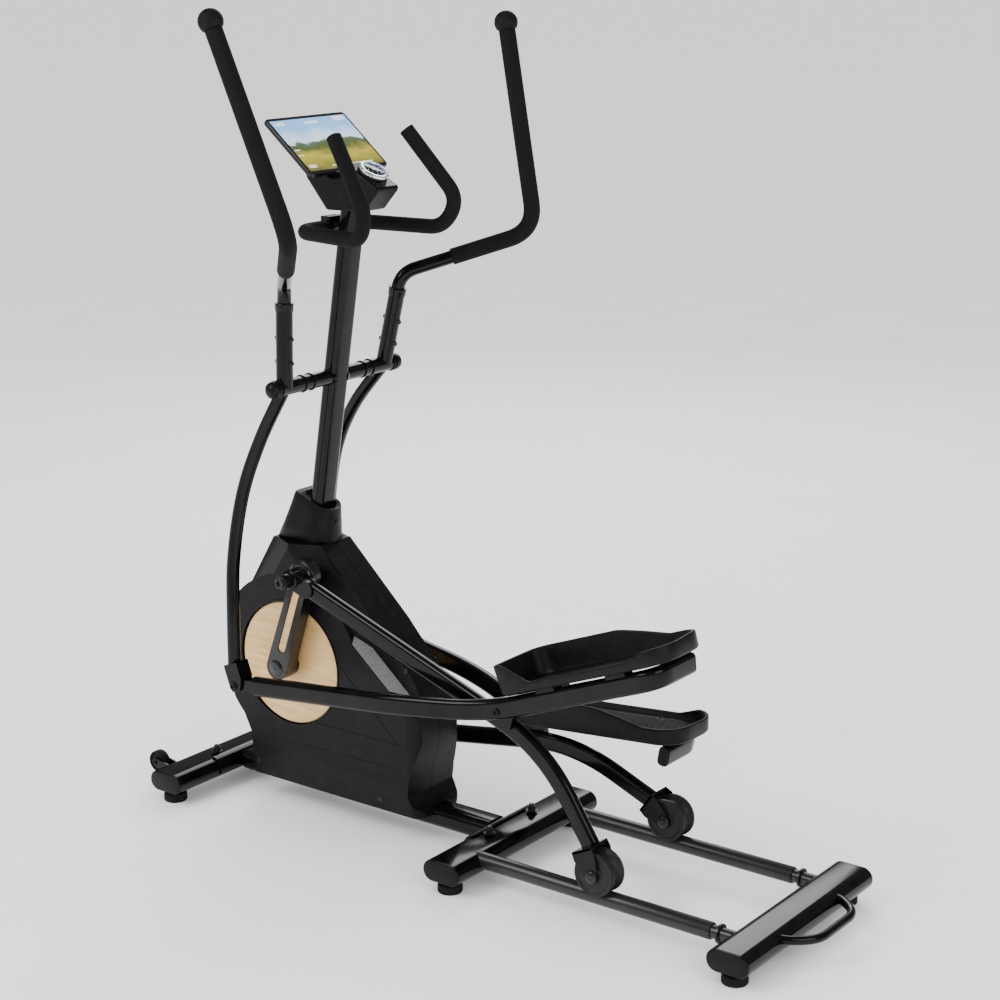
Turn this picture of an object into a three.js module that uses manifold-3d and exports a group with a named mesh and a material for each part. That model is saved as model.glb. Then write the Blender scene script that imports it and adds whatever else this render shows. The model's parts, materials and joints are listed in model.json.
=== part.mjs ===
// Elliptical trainer. Three cross feet carry a main beam and two rails. A flywheel housing stands on the beam
// with a crank on each side. Each crank drives a bent rod whose roller runs on a rail. A pedal bar hangs
// between that rod and a swinging arm with a long handle. A mast holds a fixed handlebar, a console
// and a tablet.
//
// Millimetres. +Z is up, -X is the way the user faces, +Y is the user's right. Pieces are placed along X from
// the middle cross foot, and the whole group is shifted at the end to centre the origin on the floor.
import * as THREE from "three";
import { mergeVertices } from "three/addons/utils/BufferGeometryUtils.js";
import Module from "manifold-3d";

const wasm = await Module();
wasm.setup();

// ---------------------------------------------------------------- driving dimensions
const GAP = 0.3; // between faces that touch on the real object
const ORIGIN_X = 54.6; // from the centre of the footprint to the middle cross foot

const TUBE = { wide: 86, high: 43, z: 46 }; // flat-oval cross foot
const FRONT_FOOT = { x: -741, half: 221 };
const MIDDLE_FOOT = { x: 0, half: 233 };
const REAR_FOOT = { x: 626, half: 231 };
const PAD_INSET = 30; // levelling pad from the end of its cross foot
const BEAM = { wide: 64, high: 43 };
const SADDLE = { half: 100, thick: 4 };
const RAIL = { y: 146.4, z: 52.6, radius: 16.2 };
const CARRY = { z: 54, halfSpan: 104, reach: 90, radius: 8.5 };
const TRANSPORT_WHEEL = { x: -811, y: 165, z: 62, radius: 23, width: 18 };

const MAST = { wide: 52, thick: 34, base: [-493.6, 598.3], top: [-389.3, 1260] };
const HOUSING = { half: 75, spineHalf: 46, wall: 3, topZ: 570, bottomZ: 52, drum: 187 };
const ROCKER = { x: -440, z: 914, radius: 15.5, rod: 10, fixedHalf: 75.6, end: 178 };

const CRANK = { x: -516, z: 316, radius: 219, phase: 71.1, inner: 82, outer: 115 };
const DISC = { radius: 128.5, inner: 66, outer: 71 };
const PULLEY = { radius: 126, from: -38, to: -26 };
const FLYWHEEL = { x: -330, z: 200, radius: 98, half: 12, pulley: 28 };
const BELT = { slack: 1.2, thick: 3 };

const ARM = { y: 150, lowY: 210, length: 613.5, lean: { left: 8.2, right: 20.7 }, tube: 13.5 };
const BAR = { frontY: 210, rearY: 160, endY: 48, wide: 24, high: 40, angle: { left: 6.04, right: -9.88 } };
const ROD = { y: 128.5, wide: 22, high: 37, length: 859.6, angle: { left: -29.45, right: -0.55 } };
const PEDAL_PIVOT = { onBar: 618.4, onRod: [538.5, 129.8] }; // in the frames of the bar and of the rod
const ROLLER = { radius: 42, waist: 31.2, half: 22.5, groove: 17.4 };
const HANDLE = { tube: 13.6, foam: 16.8, sides: 10, reaches: [26, 52] };
const FIXED_BAR = { tube: 11, foam: 14.8, sides: 8, reaches: [30, 26, 26] };
const TABLET = { wide: 230, tall: 152.8, thick: 9.7, low: [-390.1, 1323.5], slope: 40 };
const DIAL = { x: -337, z: 1318.2, radius: 31, high: 13, slope: 28.7 };

// ---------------------------------------------------------------- small helpers
const rad = THREE.MathUtils.degToRad;
const v3 = (x, y, z) => new THREE.Vector3(x, y, z);
const SIDES = [
  { name: "left", sign: -1 },
  { name: "right", sign: 1 },
];

// A closed geometry as a manifold solid with its faces pointing out.
function solid(geometry) {
  const bare = new THREE.BufferGeometry();
  bare.setAttribute("position", geometry.getAttribute("position"));
  bare.setIndex(geometry.index);
  const merged = mergeVertices(bare, 1e-3);
  const build = (triVerts) =>
    new wasm.Manifold(
      new wasm.Mesh({ numProp: 3, vertProperties: merged.attributes.position.array, triVerts }),
    );
  const corners = new Uint32Array(merged.index.array);
  const made = build(corners);
  if (made.volume() > 0) return made;
  for (let i = 0; i < corners.length; i += 3) {
    [corners[i + 1], corners[i + 2]] = [corners[i + 2], corners[i + 1]];
  }
  return build(corners);
}

const join = (first, ...rest) => rest.reduce((sum, next) => sum.add(next), first);
const cut = (first, ...rest) => rest.reduce((left, next) => left.subtract(next), first);

function geometryOf(shape) {
  const mesh = shape.getMesh();
  const positions = new Float32Array(mesh.numVert * 3);
  for (let i = 0; i < mesh.numVert; i++) {
    positions.set(mesh.vertProperties.subarray(i * mesh.numProp, i * mesh.numProp + 3), i * 3);
  }
  return new THREE.BufferGeometry()
    .setAttribute("position", new THREE.BufferAttribute(positions, 3))
    .setIndex(new THREE.BufferAttribute(mesh.triVerts, 1));
}

// Finishes: colour, roughness, metalness.
const FINISH = {
  gloss: [0x0c0d0f, 0.18, 0.5],
  satin: [0x2a2b2e, 0.35, 0.5],
  plastic: [0x1d1e21, 0.55, 0],
  foam: [0x232427, 0.9, 0],
  rubber: [0x1a1a1b, 0.8, 0],
  roller: [0x38393b, 0.6, 0],
  wood: [0xe0bd8c, 0.5, 0],
  steel: [0x9b9da0, 0.35, 0.9],
  silver: [0xb9bcc0, 0.3, 0.7],
  glass: [0x0a0c12, 0.08, 0],
};

function add(group, name, shape, finish) {
  const [color, roughness, metalness] = FINISH[finish];
  const mesh = new THREE.Mesh(
    geometryOf(shape),
    new THREE.MeshStandardMaterial({ color, roughness, metalness, flatShading: true }),
  );
  mesh.name = name;
  group.add(mesh);
}

// A rounded rectangle, or a flat oval where the radius is half the height.
function oval(width, height, radius) {
  const x = width / 2 - radius;
  const y = height / 2 - radius;
  const shape = new THREE.Shape();
  shape.absarc(x, -y, radius, -Math.PI / 2, 0);
  shape.absarc(x, y, radius, 0, Math.PI / 2);
  shape.absarc(-x, y, radius, Math.PI / 2, Math.PI);
  shape.absarc(-x, -y, radius, Math.PI, Math.PI * 1.5);
  shape.closePath();
  return shape;
}

function circle(radius, sides, x = 0, y = 0) {
  const points = [];
  for (let i = 0; i < sides; i++) {
    const a = (2 * Math.PI * (i + 0.5)) / sides;
    points.push(new THREE.Vector2(x + radius * Math.cos(a), y + radius * Math.sin(a)));
  }
  return new THREE.Shape(points);
}

const outline = (points) => new THREE.Shape(points.map(([x, y]) => new THREE.Vector2(x, y)));

// A circle with a round hole, for a sleeve or a foam tube.
function ring(outer, inner, sides) {
  const shape = circle(outer, sides);
  shape.holes.push(circle(inner, sides));
  return shape;
}

// The bar-like outline round two circles: a link, a belt or a slot.
function capsule(x1, z1, r1, x2, z2, r2, steps = 6) {
  const span = Math.hypot(x2 - x1, z2 - z1);
  const along = Math.atan2(z2 - z1, x2 - x1);
  const open = Math.acos((r1 - r2) / span);
  const points = [];
  const arc = (x, z, r, from, to) => {
    for (let i = 0; i <= steps; i++) {
      const a = along + from + ((to - from) * i) / steps;
      points.push([x + r * Math.cos(a), z + r * Math.sin(a)]);
    }
  };
  arc(x1, z1, r1, open, 2 * Math.PI - open);
  arc(x2, z2, r2, -open, open);
  return outline(points);
}

// Straight extrusions. Shapes are drawn in (y, z) for X, in (x, z) for Y and in (x, y) for Z.
const BASIS = {
  x: new THREE.Matrix4().makeBasis(v3(0, 1, 0), v3(0, 0, 1), v3(1, 0, 0)),
  y: new THREE.Matrix4().makeBasis(v3(1, 0, 0), v3(0, 0, 1), v3(0, -1, 0)),
  z: new THREE.Matrix4(),
};

function extrude(axis, shape, low, high, { curveSegments = 3, inset = 0 } = {}) {
  const bevel = inset
    ? { bevelEnabled: true, bevelThickness: 0.01, bevelSize: 0, bevelOffset: -inset, bevelSegments: 1 }
    : { bevelEnabled: false };
  const geometry = new THREE.ExtrudeGeometry(shape, { depth: high - low, curveSegments, ...bevel });
  geometry.applyMatrix4(BASIS[axis]);
  const start = axis === "y" ? high : low;
  geometry.translate(axis === "x" ? start : 0, axis === "y" ? start : 0, axis === "z" ? start : 0);
  return solid(geometry);
}

function block(x1, x2, y1, y2, z1, z2) {
  const box = new THREE.BoxGeometry(x2 - x1, y2 - y1, z2 - z1);
  return solid(box.translate((x1 + x2) / 2, (y1 + y2) / 2, (z1 + z2) / 2));
}

// A round bar along Y.
const pin = (x, z, radius, low, high, sides = 12) => extrude("y", circle(radius, sides, x, z), low, high);

// A hole's radius, so that a turning shaft clears the hole's flats.
const bore = (radius, sides = 12) => radius / Math.cos(Math.PI / sides) + GAP;

// A lathed body about Z, from [radius, height] points that start and end on the axis.
const lathe = (points, sides) =>
  new THREE.LatheGeometry(
    points.map(([r, h]) => new THREE.Vector2(r, h)),
    sides,
  ).rotateX(Math.PI / 2);

// A path through fixed stations, so that bends get short steps and straights get long ones.
class Stations extends THREE.Curve {
  constructor(points) {
    super();
    this.points = points;
  }
  getPoint(t, target = new THREE.Vector3()) {
    const last = this.points.length - 1;
    const at = Math.min(t * last, last);
    const i = Math.min(Math.floor(at), last - 1);
    return target.copy(this.points[i]).lerp(this.points[i + 1], at - i);
  }
  getPointAt(u, target) {
    return this.getPoint(u, target);
  }
  getTangentAt(u, target = new THREE.Vector3()) {
    const last = this.points.length - 1;
    const i = Math.round(u * last);
    const into = this.points[i].clone().sub(this.points[Math.max(i - 1, 0)]).normalize();
    const out = this.points[Math.min(i + 1, last)].clone().sub(this.points[i]).normalize();
    return target.copy(into).add(out).normalize();
  }
}

// Stations through corners. Each inner corner is rounded off from its own reach before it to as far after it.
function bent(corners, reaches, arcSteps = 3) {
  const stations = [corners[0]];
  for (let i = 1; i < corners.length - 1; i++) {
    const toward = (next) => next.clone().sub(corners[i]).setLength(reaches[i - 1]).add(corners[i]);
    const curve = new THREE.QuadraticBezierCurve3(toward(corners[i - 1]), corners[i], toward(corners[i + 1]));
    stations.push(...curve.getPoints(arcSteps));
  }
  stations.push(corners.at(-1));
  return stations;
}

function sweep(shape, stations, curveSegments = 3) {
  return solid(
    new THREE.ExtrudeGeometry(shape, {
      steps: stations.length - 1,
      curveSegments,
      bevelEnabled: false,
      extrudePath: new Stations(stations),
    }),
  );
}

// A closed body between two outlines with the same number of points.
function loft([lower, upper]) {
  const count = lower.length;
  const faces = [];
  for (let i = 1; i < count - 1; i++) faces.push(0, i + 1, i, count, count + i, count + i + 1);
  for (let i = 0; i < count; i++) {
    const j = (i + 1) % count;
    faces.push(i, j, count + j, i, count + j, count + i);
  }
  const geometry = new THREE.BufferGeometry().setFromPoints([...lower, ...upper]);
  return solid(geometry.setIndex(faces));
}

// ---------------------------------------------------------------- frame
const footTube = (foot, grow = 0) =>
  extrude(
    "y",
    oval(TUBE.wide + 2 * grow, TUBE.high + 2 * grow, TUBE.high / 2 + grow),
    -foot.half - grow,
    foot.half + grow,
  ).translate([foot.x, 0, TUBE.z]);

function frontFoot() {
  const { x, y, z, radius, width } = TRANSPORT_WHEEL;
  const inner = FRONT_FOOT.x - TUBE.wide / 2 + 8;
  const cheeks = SIDES.flatMap(({ sign }) =>
    [-1, 1].map((face) => {
      const middle = sign * y + face * (width / 2 + 3);
      const link = extrude("y", capsule(x, z, 8, inner, TUBE.z, 12), middle - 1.5, middle + 1.5);
      return link;
    }),
  );
  const pins = SIDES.map(({ sign }) => pin(x, z, 4, sign * y - width / 2 - 3, sign * y + width / 2 + 3, 10));
  return join(footTube(FRONT_FOOT), ...cheeks, ...pins);
}

function transportWheel(sign) {
  const { x, y, z, radius, width } = TRANSPORT_WHEEL;
  const low = sign * y - width / 2;
  const tyre = extrude("y", circle(radius, 20, x, z), low, low + width);
  return cut(tyre, pin(x, z, bore(4, 10), low - 1, low + width + 1, 10));
}

function beamSolid(grow = 0) {
  return extrude(
    "x",
    oval(BEAM.wide + 2 * grow, BEAM.high + 2 * grow, BEAM.high / 2 + grow),
    FRONT_FOOT.x,
    MIDDLE_FOOT.x,
  ).translate([0, 0, TUBE.z]);
}

// The bent plate that lies over a cross foot and takes its two bolts.
function saddle(foot, toward) {
  const { half, thick } = SADDLE;
  const skin = extrude(
    "y",
    oval(TUBE.wide + 2 * (thick + GAP), TUBE.high + 2 * (thick + GAP), TUBE.high / 2 + thick + GAP),
    -half,
    half,
  ).translate([foot.x, 0, TUBE.z]);
  const [low, high] = [foot.x - toward * 12, foot.x + toward * 60].sort((a, b) => a - b);
  return skin.intersect(block(low, high, -half, half, TUBE.z - 12, TUBE.z + 40));
}

const IDLER = { x: -425, z: 160, radius: 15 };
const MAGNET_PIVOT = { x: -322, z: 309 };

function mainBeam() {
  const { x, z, half } = FLYWHEEL;
  const plates = [-1, 1].map((face) => {
    const low = face > 0 ? half + 4 : -half - 8;
    const flat = (shape) => extrude("y", shape, low, low + 4);
    const foot = flat(
      outline([
        [x - 50, TUBE.z + 12],
        [x + 50, TUBE.z + 12],
        [x + 18, z],
        [x - 18, z],
      ]),
    );
    return join(
      foot,
      flat(circle(18, 16, x, z)),
      flat(capsule(x, z, 14, MAGNET_PIVOT.x, MAGNET_PIVOT.z, 9)),
      flat(capsule(x, z, 14, IDLER.x, IDLER.z, 9)),
    );
  });
  const idlerPin = pin(IDLER.x, IDLER.z, 5, PULLEY.from - 1, -half - 6, 10);
  const whole = join(
    beamSolid(),
    saddle(FRONT_FOOT, 1),
    saddle(MIDDLE_FOOT, -1),
    ...plates,
    idlerPin,
  );
  return cut(
    whole,
    footTube(FRONT_FOOT, GAP),
    footTube(MIDDLE_FOOT, GAP),
    pin(x, z, bore(8), -40, 40),
    pin(MAGNET_PIVOT.x, MAGNET_PIVOT.z, bore(4, 10), -40, 40, 10),
  );
}

function rail(sign) {
  const start = MIDDLE_FOOT.x + 20;
  const end = REAR_FOOT.x - TUBE.wide / 2 - 17;
  const tube = extrude("x", circle(RAIL.radius, 16), start, end);
  const stub = extrude("x", circle(12.5, 14), end - 1, REAR_FOOT.x - 20);
  const both = join(tube, stub).translate([0, sign * RAIL.y, RAIL.z]);
  return cut(both, footTube(MIDDLE_FOOT, GAP), footTube(REAR_FOOT, GAP));
}

function carryHandle() {
  const x = REAR_FOOT.x;
  const { z, halfSpan, reach, radius } = CARRY;
  const corners = [
    v3(x + 20, -halfSpan, z),
    v3(x + 44, -halfSpan, z),
    v3(x + reach, -halfSpan * 0.66, z),
    v3(x + reach, halfSpan * 0.66, z),
    v3(x + 44, halfSpan, z),
    v3(x + 20, halfSpan, z),
  ];
  return cut(sweep(circle(radius, 10), bent(corners, [16, 16, 16, 16], 3)), footTube(REAR_FOOT, GAP));
}

const levellingPad = () =>
  solid(
    lathe(
      [
        [0, 0],
        [24.3, 0],
        [24.3, 18],
        [8, 20],
        [8, TUBE.z - TUBE.high / 2 - GAP],
        [0, TUBE.z - TUBE.high / 2 - GAP],
      ],
      14,
    ),
  );

// ---------------------------------------------------------------- mast and rocker axle
const [MAST_X, MAST_Z] = MAST.base;
const MAST_LEAN = Math.atan2(MAST.top[0] - MAST_X, MAST.top[1] - MAST_Z);
const mastX = (z) => MAST_X + (z - MAST_Z) * Math.tan(MAST_LEAN);

function mastTube(lowZ, highZ, grow = 0) {
  return sweep(oval(MAST.thick + 2 * grow, MAST.wide + 2 * grow, 14 + grow), [
    v3(mastX(lowZ), 0, lowZ),
    v3(mastX(highZ), 0, highZ),
  ]);
}

const mast = () => cut(mastTube(MAST_Z, MAST.top[1]), pin(ROCKER.x, ROCKER.z, ROCKER.radius + GAP, -40, 40));

function rockerAxle() {
  const { x, z, radius, rod, fixedHalf, end } = ROCKER;
  return join(pin(x, z, radius, -fixedHalf, fixedHalf), pin(x, z, rod, -end, end));
}

function framePost() {
  const base = TUBE.z + BEAM.high / 2 + GAP;
  const tube = sweep(oval(30, 46, 10), [v3(mastX(40), 0, 40), v3(mastX(597.5), 0, 597.5)]);
  const shell = pin(CRANK.x, CRANK.z, 26, -24, 24, 20);
  const foot = block(mastX(base) - 38, mastX(base) + 38, -25, 25, base, base + 6);
  return cut(
    join(tube, shell, foot),
    block(-700, -400, -60, 60, 0, base),
    pin(CRANK.x, CRANK.z, bore(10), -30, 30),
  );
}

// ---------------------------------------------------------------- housing
// The side outline: a round drum about the crank, a slope up to the mast on each side and a flared foot.
function housingSide() {
  const { topZ, bottomZ, drum } = HOUSING;
  const shape = new THREE.Shape();
  shape.moveTo(-449, topZ);
  shape.lineTo(-296, 425);
  shape.lineTo(-217, 338);
  shape.quadraticCurveTo(-183, 300, -183, 210);
  shape.lineTo(-203, 128);
  shape.lineTo(-206, 92);
  shape.lineTo(-184, 66);
  shape.lineTo(-178, bottomZ);
  shape.lineTo(-622, bottomZ);
  shape.lineTo(-626, 142);
  shape.absarc(CRANK.x, CRANK.z, drum, rad(226), rad(136.5), true);
  shape.lineTo(-560, topZ);
  return shape;
}

// Seen from the front: upright sides with a slightly narrower foot.
const housingFront = () =>
  outline([
    [-70, HOUSING.bottomZ],
    [70, HOUSING.bottomZ],
    [HOUSING.half, 130],
    [HOUSING.half, 600],
    [-HOUSING.half, 600],
    [-HOUSING.half, 130],
  ]);

// A long prism with chamfered upper edges, tipped down along a slope that passes through (x, z).
function slopedPrism({ x, z, slope, deep, crown, from, to }, inset) {
  const half = HOUSING.half + 1;
  const section = outline([
    [-half, -600],
    [half, -600],
    [half, -deep],
    [crown, 0],
    [-crown, 0],
    [-half, -deep],
  ]);
  return extrude("x", section, from, to, { inset }).rotate([0, slope, 0]).translate([x, 0, z]);
}

// The upper body's side faces run in to a narrow crown along both slopes. Behind the shoulder they end at a
// low bevel, and only the spine goes on up to the rear slope.
const REAR_SLOPE = { x: -449, z: 574, slope: 44.8, deep: 57, crown: 42, from: -300, to: 300 };
const FRONT_SLOPE = { x: -556, z: 574, slope: -54.6, deep: 57, crown: 42, from: -300, to: 300 };
const LOW_BEVEL = { x: -312, z: 378, slope: 40, deep: 13, crown: 46, from: -88, to: 400 };

function housingBody(inset) {
  const { half, spineHalf, bottomZ, drum } = HOUSING;
  const side = extrude("y", housingSide(), -half - 5, half + 5, { curveSegments: 10, inset });
  const front = extrude("x", housingFront(), -760, -150, { inset });
  const plan = extrude("z", oval(524, 2 * half + 1, 38), 0, 700, { inset }).translate([-440, 0, 0]);
  const shoulder = extrude(
    "z",
    outline([
      [-760, -half - 1],
      [-386, -half - 1],
      [-303, -42],
      [-303, 42],
      [-386, half + 1],
      [-760, half + 1],
    ]),
    bottomZ,
    700,
    { inset },
  );
  const slopes = slopedPrism(REAR_SLOPE, inset).intersect(slopedPrism(FRONT_SLOPE, inset));
  const cheeks = shoulder.intersect(slopes);
  const spine = block(-760, -150, inset - spineHalf, spineHalf - inset, 0, 700);
  const low = block(-760, -150, -half, half, 0, 235 - inset);
  const barrel = pin(CRANK.x, CRANK.z, drum - inset, -half - 1, half + 1, 48);
  return side
    .intersect(front)
    .intersect(plan)
    .intersect(join(cheeks, slopedPrism(LOW_BEVEL, inset), spine, low, barrel));
}

function housingShell() {
  const neckX = mastX(HOUSING.topZ);
  const shell = cut(
    housingBody(0),
    housingBody(HOUSING.wall),
    block(neckX - 32, neckX + 32, -26, 26, HOUSING.topZ - 20, HOUSING.topZ + 20),
    beamSolid(GAP),
    pin(CRANK.x, CRANK.z, DISC.radius + 2, -100, 100, 36),
  );
  return {
    left: shell.intersect(block(-800, 0, -100, -GAP / 2, 0, 700)),
    right: shell.intersect(block(-800, 0, GAP / 2, 100, 0, 700)),
  };
}

// The hooded collar that closes the housing round the foot of the mast: round behind, with a rim that slopes
// down to the rear.
function mastCover() {
  const low = HOUSING.topZ + GAP;
  const side = outline([
    [-561, low],
    [-446, low],
    [-437, 634],
    [-448, 640],
    [-500, 666],
    [-522, 670],
  ]);
  const hood = (inset, z) =>
    bentSection(-561 + inset * 2.4, -446 + inset * 0.6, 43 - inset * 0.95).map(([x, y]) => v3(x, y, z));
  const body = loft([hood(0, low - 1), hood(16, 700)]).intersect(extrude("y", side, -80, 80));
  return cut(body, mastTube(HOUSING.topZ - 30, 720, GAP));
}

// A plan outline with a square front and a half-round rear.
function bentSection(front, rear, half) {
  const points = [
    [front, half * 0.7],
    [front, -half * 0.7],
    [front + half * 0.3, -half],
  ];
  for (let i = 0; i <= 8; i++) {
    const a = rad(-90 + 22.5 * i);
    points.push([rear - half * 0.85 + half * 0.85 * Math.cos(a), half * Math.sin(a)]);
  }
  points.push([front + half * 0.3, half]);
  return points;
}

// ---------------------------------------------------------------- drive
function crankAxle() {
  return pin(CRANK.x, CRANK.z, 10, -CRANK.inner - 16, CRANK.inner + 16);
}

const drivePulley = () =>
  cut(
    extrude("y", circle(PULLEY.radius, 32, CRANK.x, CRANK.z), PULLEY.from, PULLEY.to),
    pin(CRANK.x, CRANK.z, 10 + GAP, -60, 60),
  );

function belt() {
  const loop = (grow) =>
    capsule(CRANK.x, CRANK.z, PULLEY.radius + grow, FLYWHEEL.x, FLYWHEEL.z, FLYWHEEL.pulley + grow, 16);
  const shape = loop(BELT.slack + BELT.thick);
  shape.holes.push(loop(BELT.slack));
  return extrude("y", shape, PULLEY.from + 1, PULLEY.to - 1);
}

function flywheel() {
  const { x, z, radius, half, pulley } = FLYWHEEL;
  return join(
    pin(x, z, radius, -half, half, 30),
    pin(x, z, 8, PULLEY.from - 4, half + 12),
    pin(x, z, pulley, PULLEY.from, PULLEY.to, 16),
  );
}

const idlerPulley = () =>
  cut(
    pin(IDLER.x, IDLER.z, IDLER.radius, PULLEY.from, PULLEY.to, 20),
    pin(IDLER.x, IDLER.z, bore(5, 10), -60, 0, 10),
  );

// A curved shoe over the flywheel's rim, on a pin above it.
function magnetBracket() {
  const { x, z, radius, half } = FLYWHEEL;
  const points = [];
  const arc = (r, from, to) => {
    for (let i = 0; i <= 8; i++) {
      const a = rad(from + ((to - from) * i) / 8);
      points.push([x + r * Math.cos(a), z + r * Math.sin(a)]);
    }
  };
  arc(radius + 5, 20, 88);
  arc(radius + 14, 88, 20);
  const shoe = extrude("y", outline(points), -half, half);
  return join(shoe, pin(MAGNET_PIVOT.x, MAGNET_PIVOT.z, 4, -half - 10, half + 10, 10));
}

const servoMotor = () => block(FLYWHEEL.x - 20, FLYWHEEL.x + 20, FLYWHEEL.half + 8 + GAP, 50, 90, 130);

// One crank: a slotted arm with a hub at the axle and a round boss at the pin.
function crank(sign) {
  const angle = rad(CRANK.phase) + (sign > 0 ? Math.PI : 0);
  const px = CRANK.x + CRANK.radius * Math.cos(angle);
  const pz = CRANK.z + CRANK.radius * Math.sin(angle);
  const at = (share) => [CRANK.x + (px - CRANK.x) * share, CRANK.z + (pz - CRANK.z) * share];
  const span = (low, high) => (sign > 0 ? [low, high] : [-high, -low]);
  const arm = extrude("y", capsule(CRANK.x, CRANK.z, 25, px, pz, 21), ...span(CRANK.inner, CRANK.outer));
  const hub = pin(CRANK.x, CRANK.z, 24, ...span(DISC.inner - 6, CRANK.inner + 1), 16);
  const boss = pin(px, pz, 27, ...span(CRANK.inner + 10, CRANK.outer + 2), 18);
  const slot = extrude("y", capsule(...at(0.22), 8.5, ...at(0.8), 8), -130, 130);
  const socket = pin(CRANK.x, CRANK.z, 10 + GAP, ...span(DISC.inner - 10, CRANK.inner + 16 + GAP));
  return cut(join(arm, hub, boss), slot, socket);
}

function disc(sign) {
  const [low, high] = sign > 0 ? [DISC.inner, DISC.outer] : [-DISC.outer, -DISC.inner];
  return cut(
    extrude("y", circle(DISC.radius, 36, CRANK.x, CRANK.z), low, high),
    pin(CRANK.x, CRANK.z, 24 + GAP, -100, 100, 16),
  );
}

// ---------------------------------------------------------------- swinging arm, about the rocker axle
// Local frame: the rocker axle is the Y axis and the lower pivot hangs at z = -ARM.length.
const ARM_BOW = [
  [0, 0],
  [-46, -120],
  [-68, -237],
  [-61, -370],
  [-36, -488],
  [-17, -585],
];
const HANDLE_CORNERS = { elbow: [-23, 195], out: [137, 331, 343], top: [-81.5, 340, 694.5] };
const FOAM_START = 0.38; // share of the way from the lower elbow to the upper one

function swingArm(sign) {
  const y = sign * ARM.y;
  const span = (low, high) => (sign > 0 ? [low, high] : [-high, -low]);
  const sleeve = pin(0, 0, ROCKER.radius, ...span(ROCKER.fixedHalf + GAP, ROCKER.end), 16);
  const spread = (z) => ARM.y + (ARM.lowY - ARM.y) * THREE.MathUtils.smoothstep(-z, 0, ARM.length);
  const curve = new THREE.CatmullRomCurve3(ARM_BOW.map(([x, z]) => v3(x, sign * spread(z), z)));
  const lower = sweep(circle(ARM.tube, 10), curve.getPoints(8));
  const [ex, ez] = HANDLE_CORNERS.elbow;
  const upward = v3(ex, 0, ez).normalize();
  const upper = sweep(circle(16.5, 12), [v3(0, y, 0), upward.clone().multiplyScalar(166).setY(y)]);
  const socket = sweep(circle(HANDLE.tube + 2 * GAP, HANDLE.sides), [
    upward.clone().multiplyScalar(60 - GAP).setY(y),
    upward.clone().multiplyScalar(180).setY(y),
  ]);
  const tubes = cut(
    join(sleeve, lower, upper),
    pin(0, 0, bore(ROCKER.rod), ...span(60, 200)),
    socket,
    toClevis(clevisSlot(sign)),
  );
  return join(tubes, clevisBracket(sign));
}

// A channel with its web to the rear, tilted against the arm. Its own frame has its pin at the origin.
const CLEVIS = { front: -12, rear: 25, top: 45, webFoot: 18, gap: 13, plate: 4, tilt: 28.6 };

const toClevis = (shape) => shape.rotate([0, -CLEVIS.tilt, 0]).translate([0, 0, -ARM.length]);

function clevisBracket(sign) {
  const { front, rear, top, webFoot, gap, plate } = CLEVIS;
  const y = sign * BAR.frontY;
  const shape = outline([
    [front, top],
    [front, 0],
    [-9, -10],
    [0, -14],
    [12, -12],
    [19, -2],
    [rear, webFoot],
    [rear, top],
  ]);
  const body = extrude("y", shape, y - gap - plate, y + gap + plate);
  const bolt = pin(0, 0, 5, y - gap - plate - 3, y + gap + plate + 3, 12);
  return toClevis(join(cut(body, clevisSlot(sign)), bolt));
}

// The slot between the cheeks, open at the front and below, where the pedal bar's eye turns.
function clevisSlot(sign) {
  const { front, rear, top, webFoot, gap, plate } = CLEVIS;
  const y = sign * BAR.frontY;
  return join(
    block(front - 20, rear - plate, y - gap, y + gap, -30, top - plate),
    block(front, rear + 1, y - gap, y + gap, -30, webFoot),
  );
}

function handlePath(sign) {
  const [ex, ez] = HANDLE_CORNERS.elbow;
  const start = v3(ex, 0, ez).setLength(60).setY(sign * ARM.y);
  const [ox, oy, oz] = HANDLE_CORNERS.out;
  const [tx, ty, tz] = HANDLE_CORNERS.top;
  return [start, v3(ex, sign * ARM.y, ez), v3(ox, sign * oy, oz), v3(tx, sign * ty, tz)];
}

function handlebar(sign) {
  const path = handlePath(sign);
  const end = path[3].clone().lerp(path[2], 0.04);
  return sweep(circle(HANDLE.tube, HANDLE.sides), bent([path[0], path[1], path[2], end], HANDLE.reaches));
}

function handleGrip(sign) {
  const [, elbow, out, top] = handlePath(sign);
  const start = elbow.clone().lerp(out, FOAM_START);
  const end = top.clone().lerp(out, 0.03);
  const { tube, foam, sides, reaches } = HANDLE;
  return sweep(ring(foam, bore(tube, sides), sides), bent([start, out, end], reaches.slice(1)));
}

function ballCap(sign) {
  const [, , out, top] = handlePath(sign);
  const along = top.clone().sub(out).normalize();
  const profile = [[0, -11.5], [20.5, -11.5]];
  for (let a = -20; a <= 90; a += 22) profile.push([23.4 * Math.cos(rad(a)), 23.4 * Math.sin(rad(a))]);
  profile[profile.length - 1] = [0, 23.4];
  const ball = lathe(profile, 16);
  ball.applyQuaternion(new THREE.Quaternion().setFromUnitVectors(v3(0, 0, 1), along));
  ball.translate(top.x, top.y, top.z);
  const grown = sweep(circle(HANDLE.foam + GAP, HANDLE.sides), [out, top.clone().lerp(out, 0.029)]);
  return cut(solid(ball), grown);
}

function axleCap(sign) {
  const profile = [
    [0, 0],
    [17, 0],
    [17, 6],
    [14, 13],
    [8, 17],
    [0, 18.5],
  ];
  const dome = lathe(profile, 16).rotateX(-sign * (Math.PI / 2));
  dome.translate(0, sign * (ROCKER.end + GAP), 0);
  return solid(dome);
}

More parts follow.
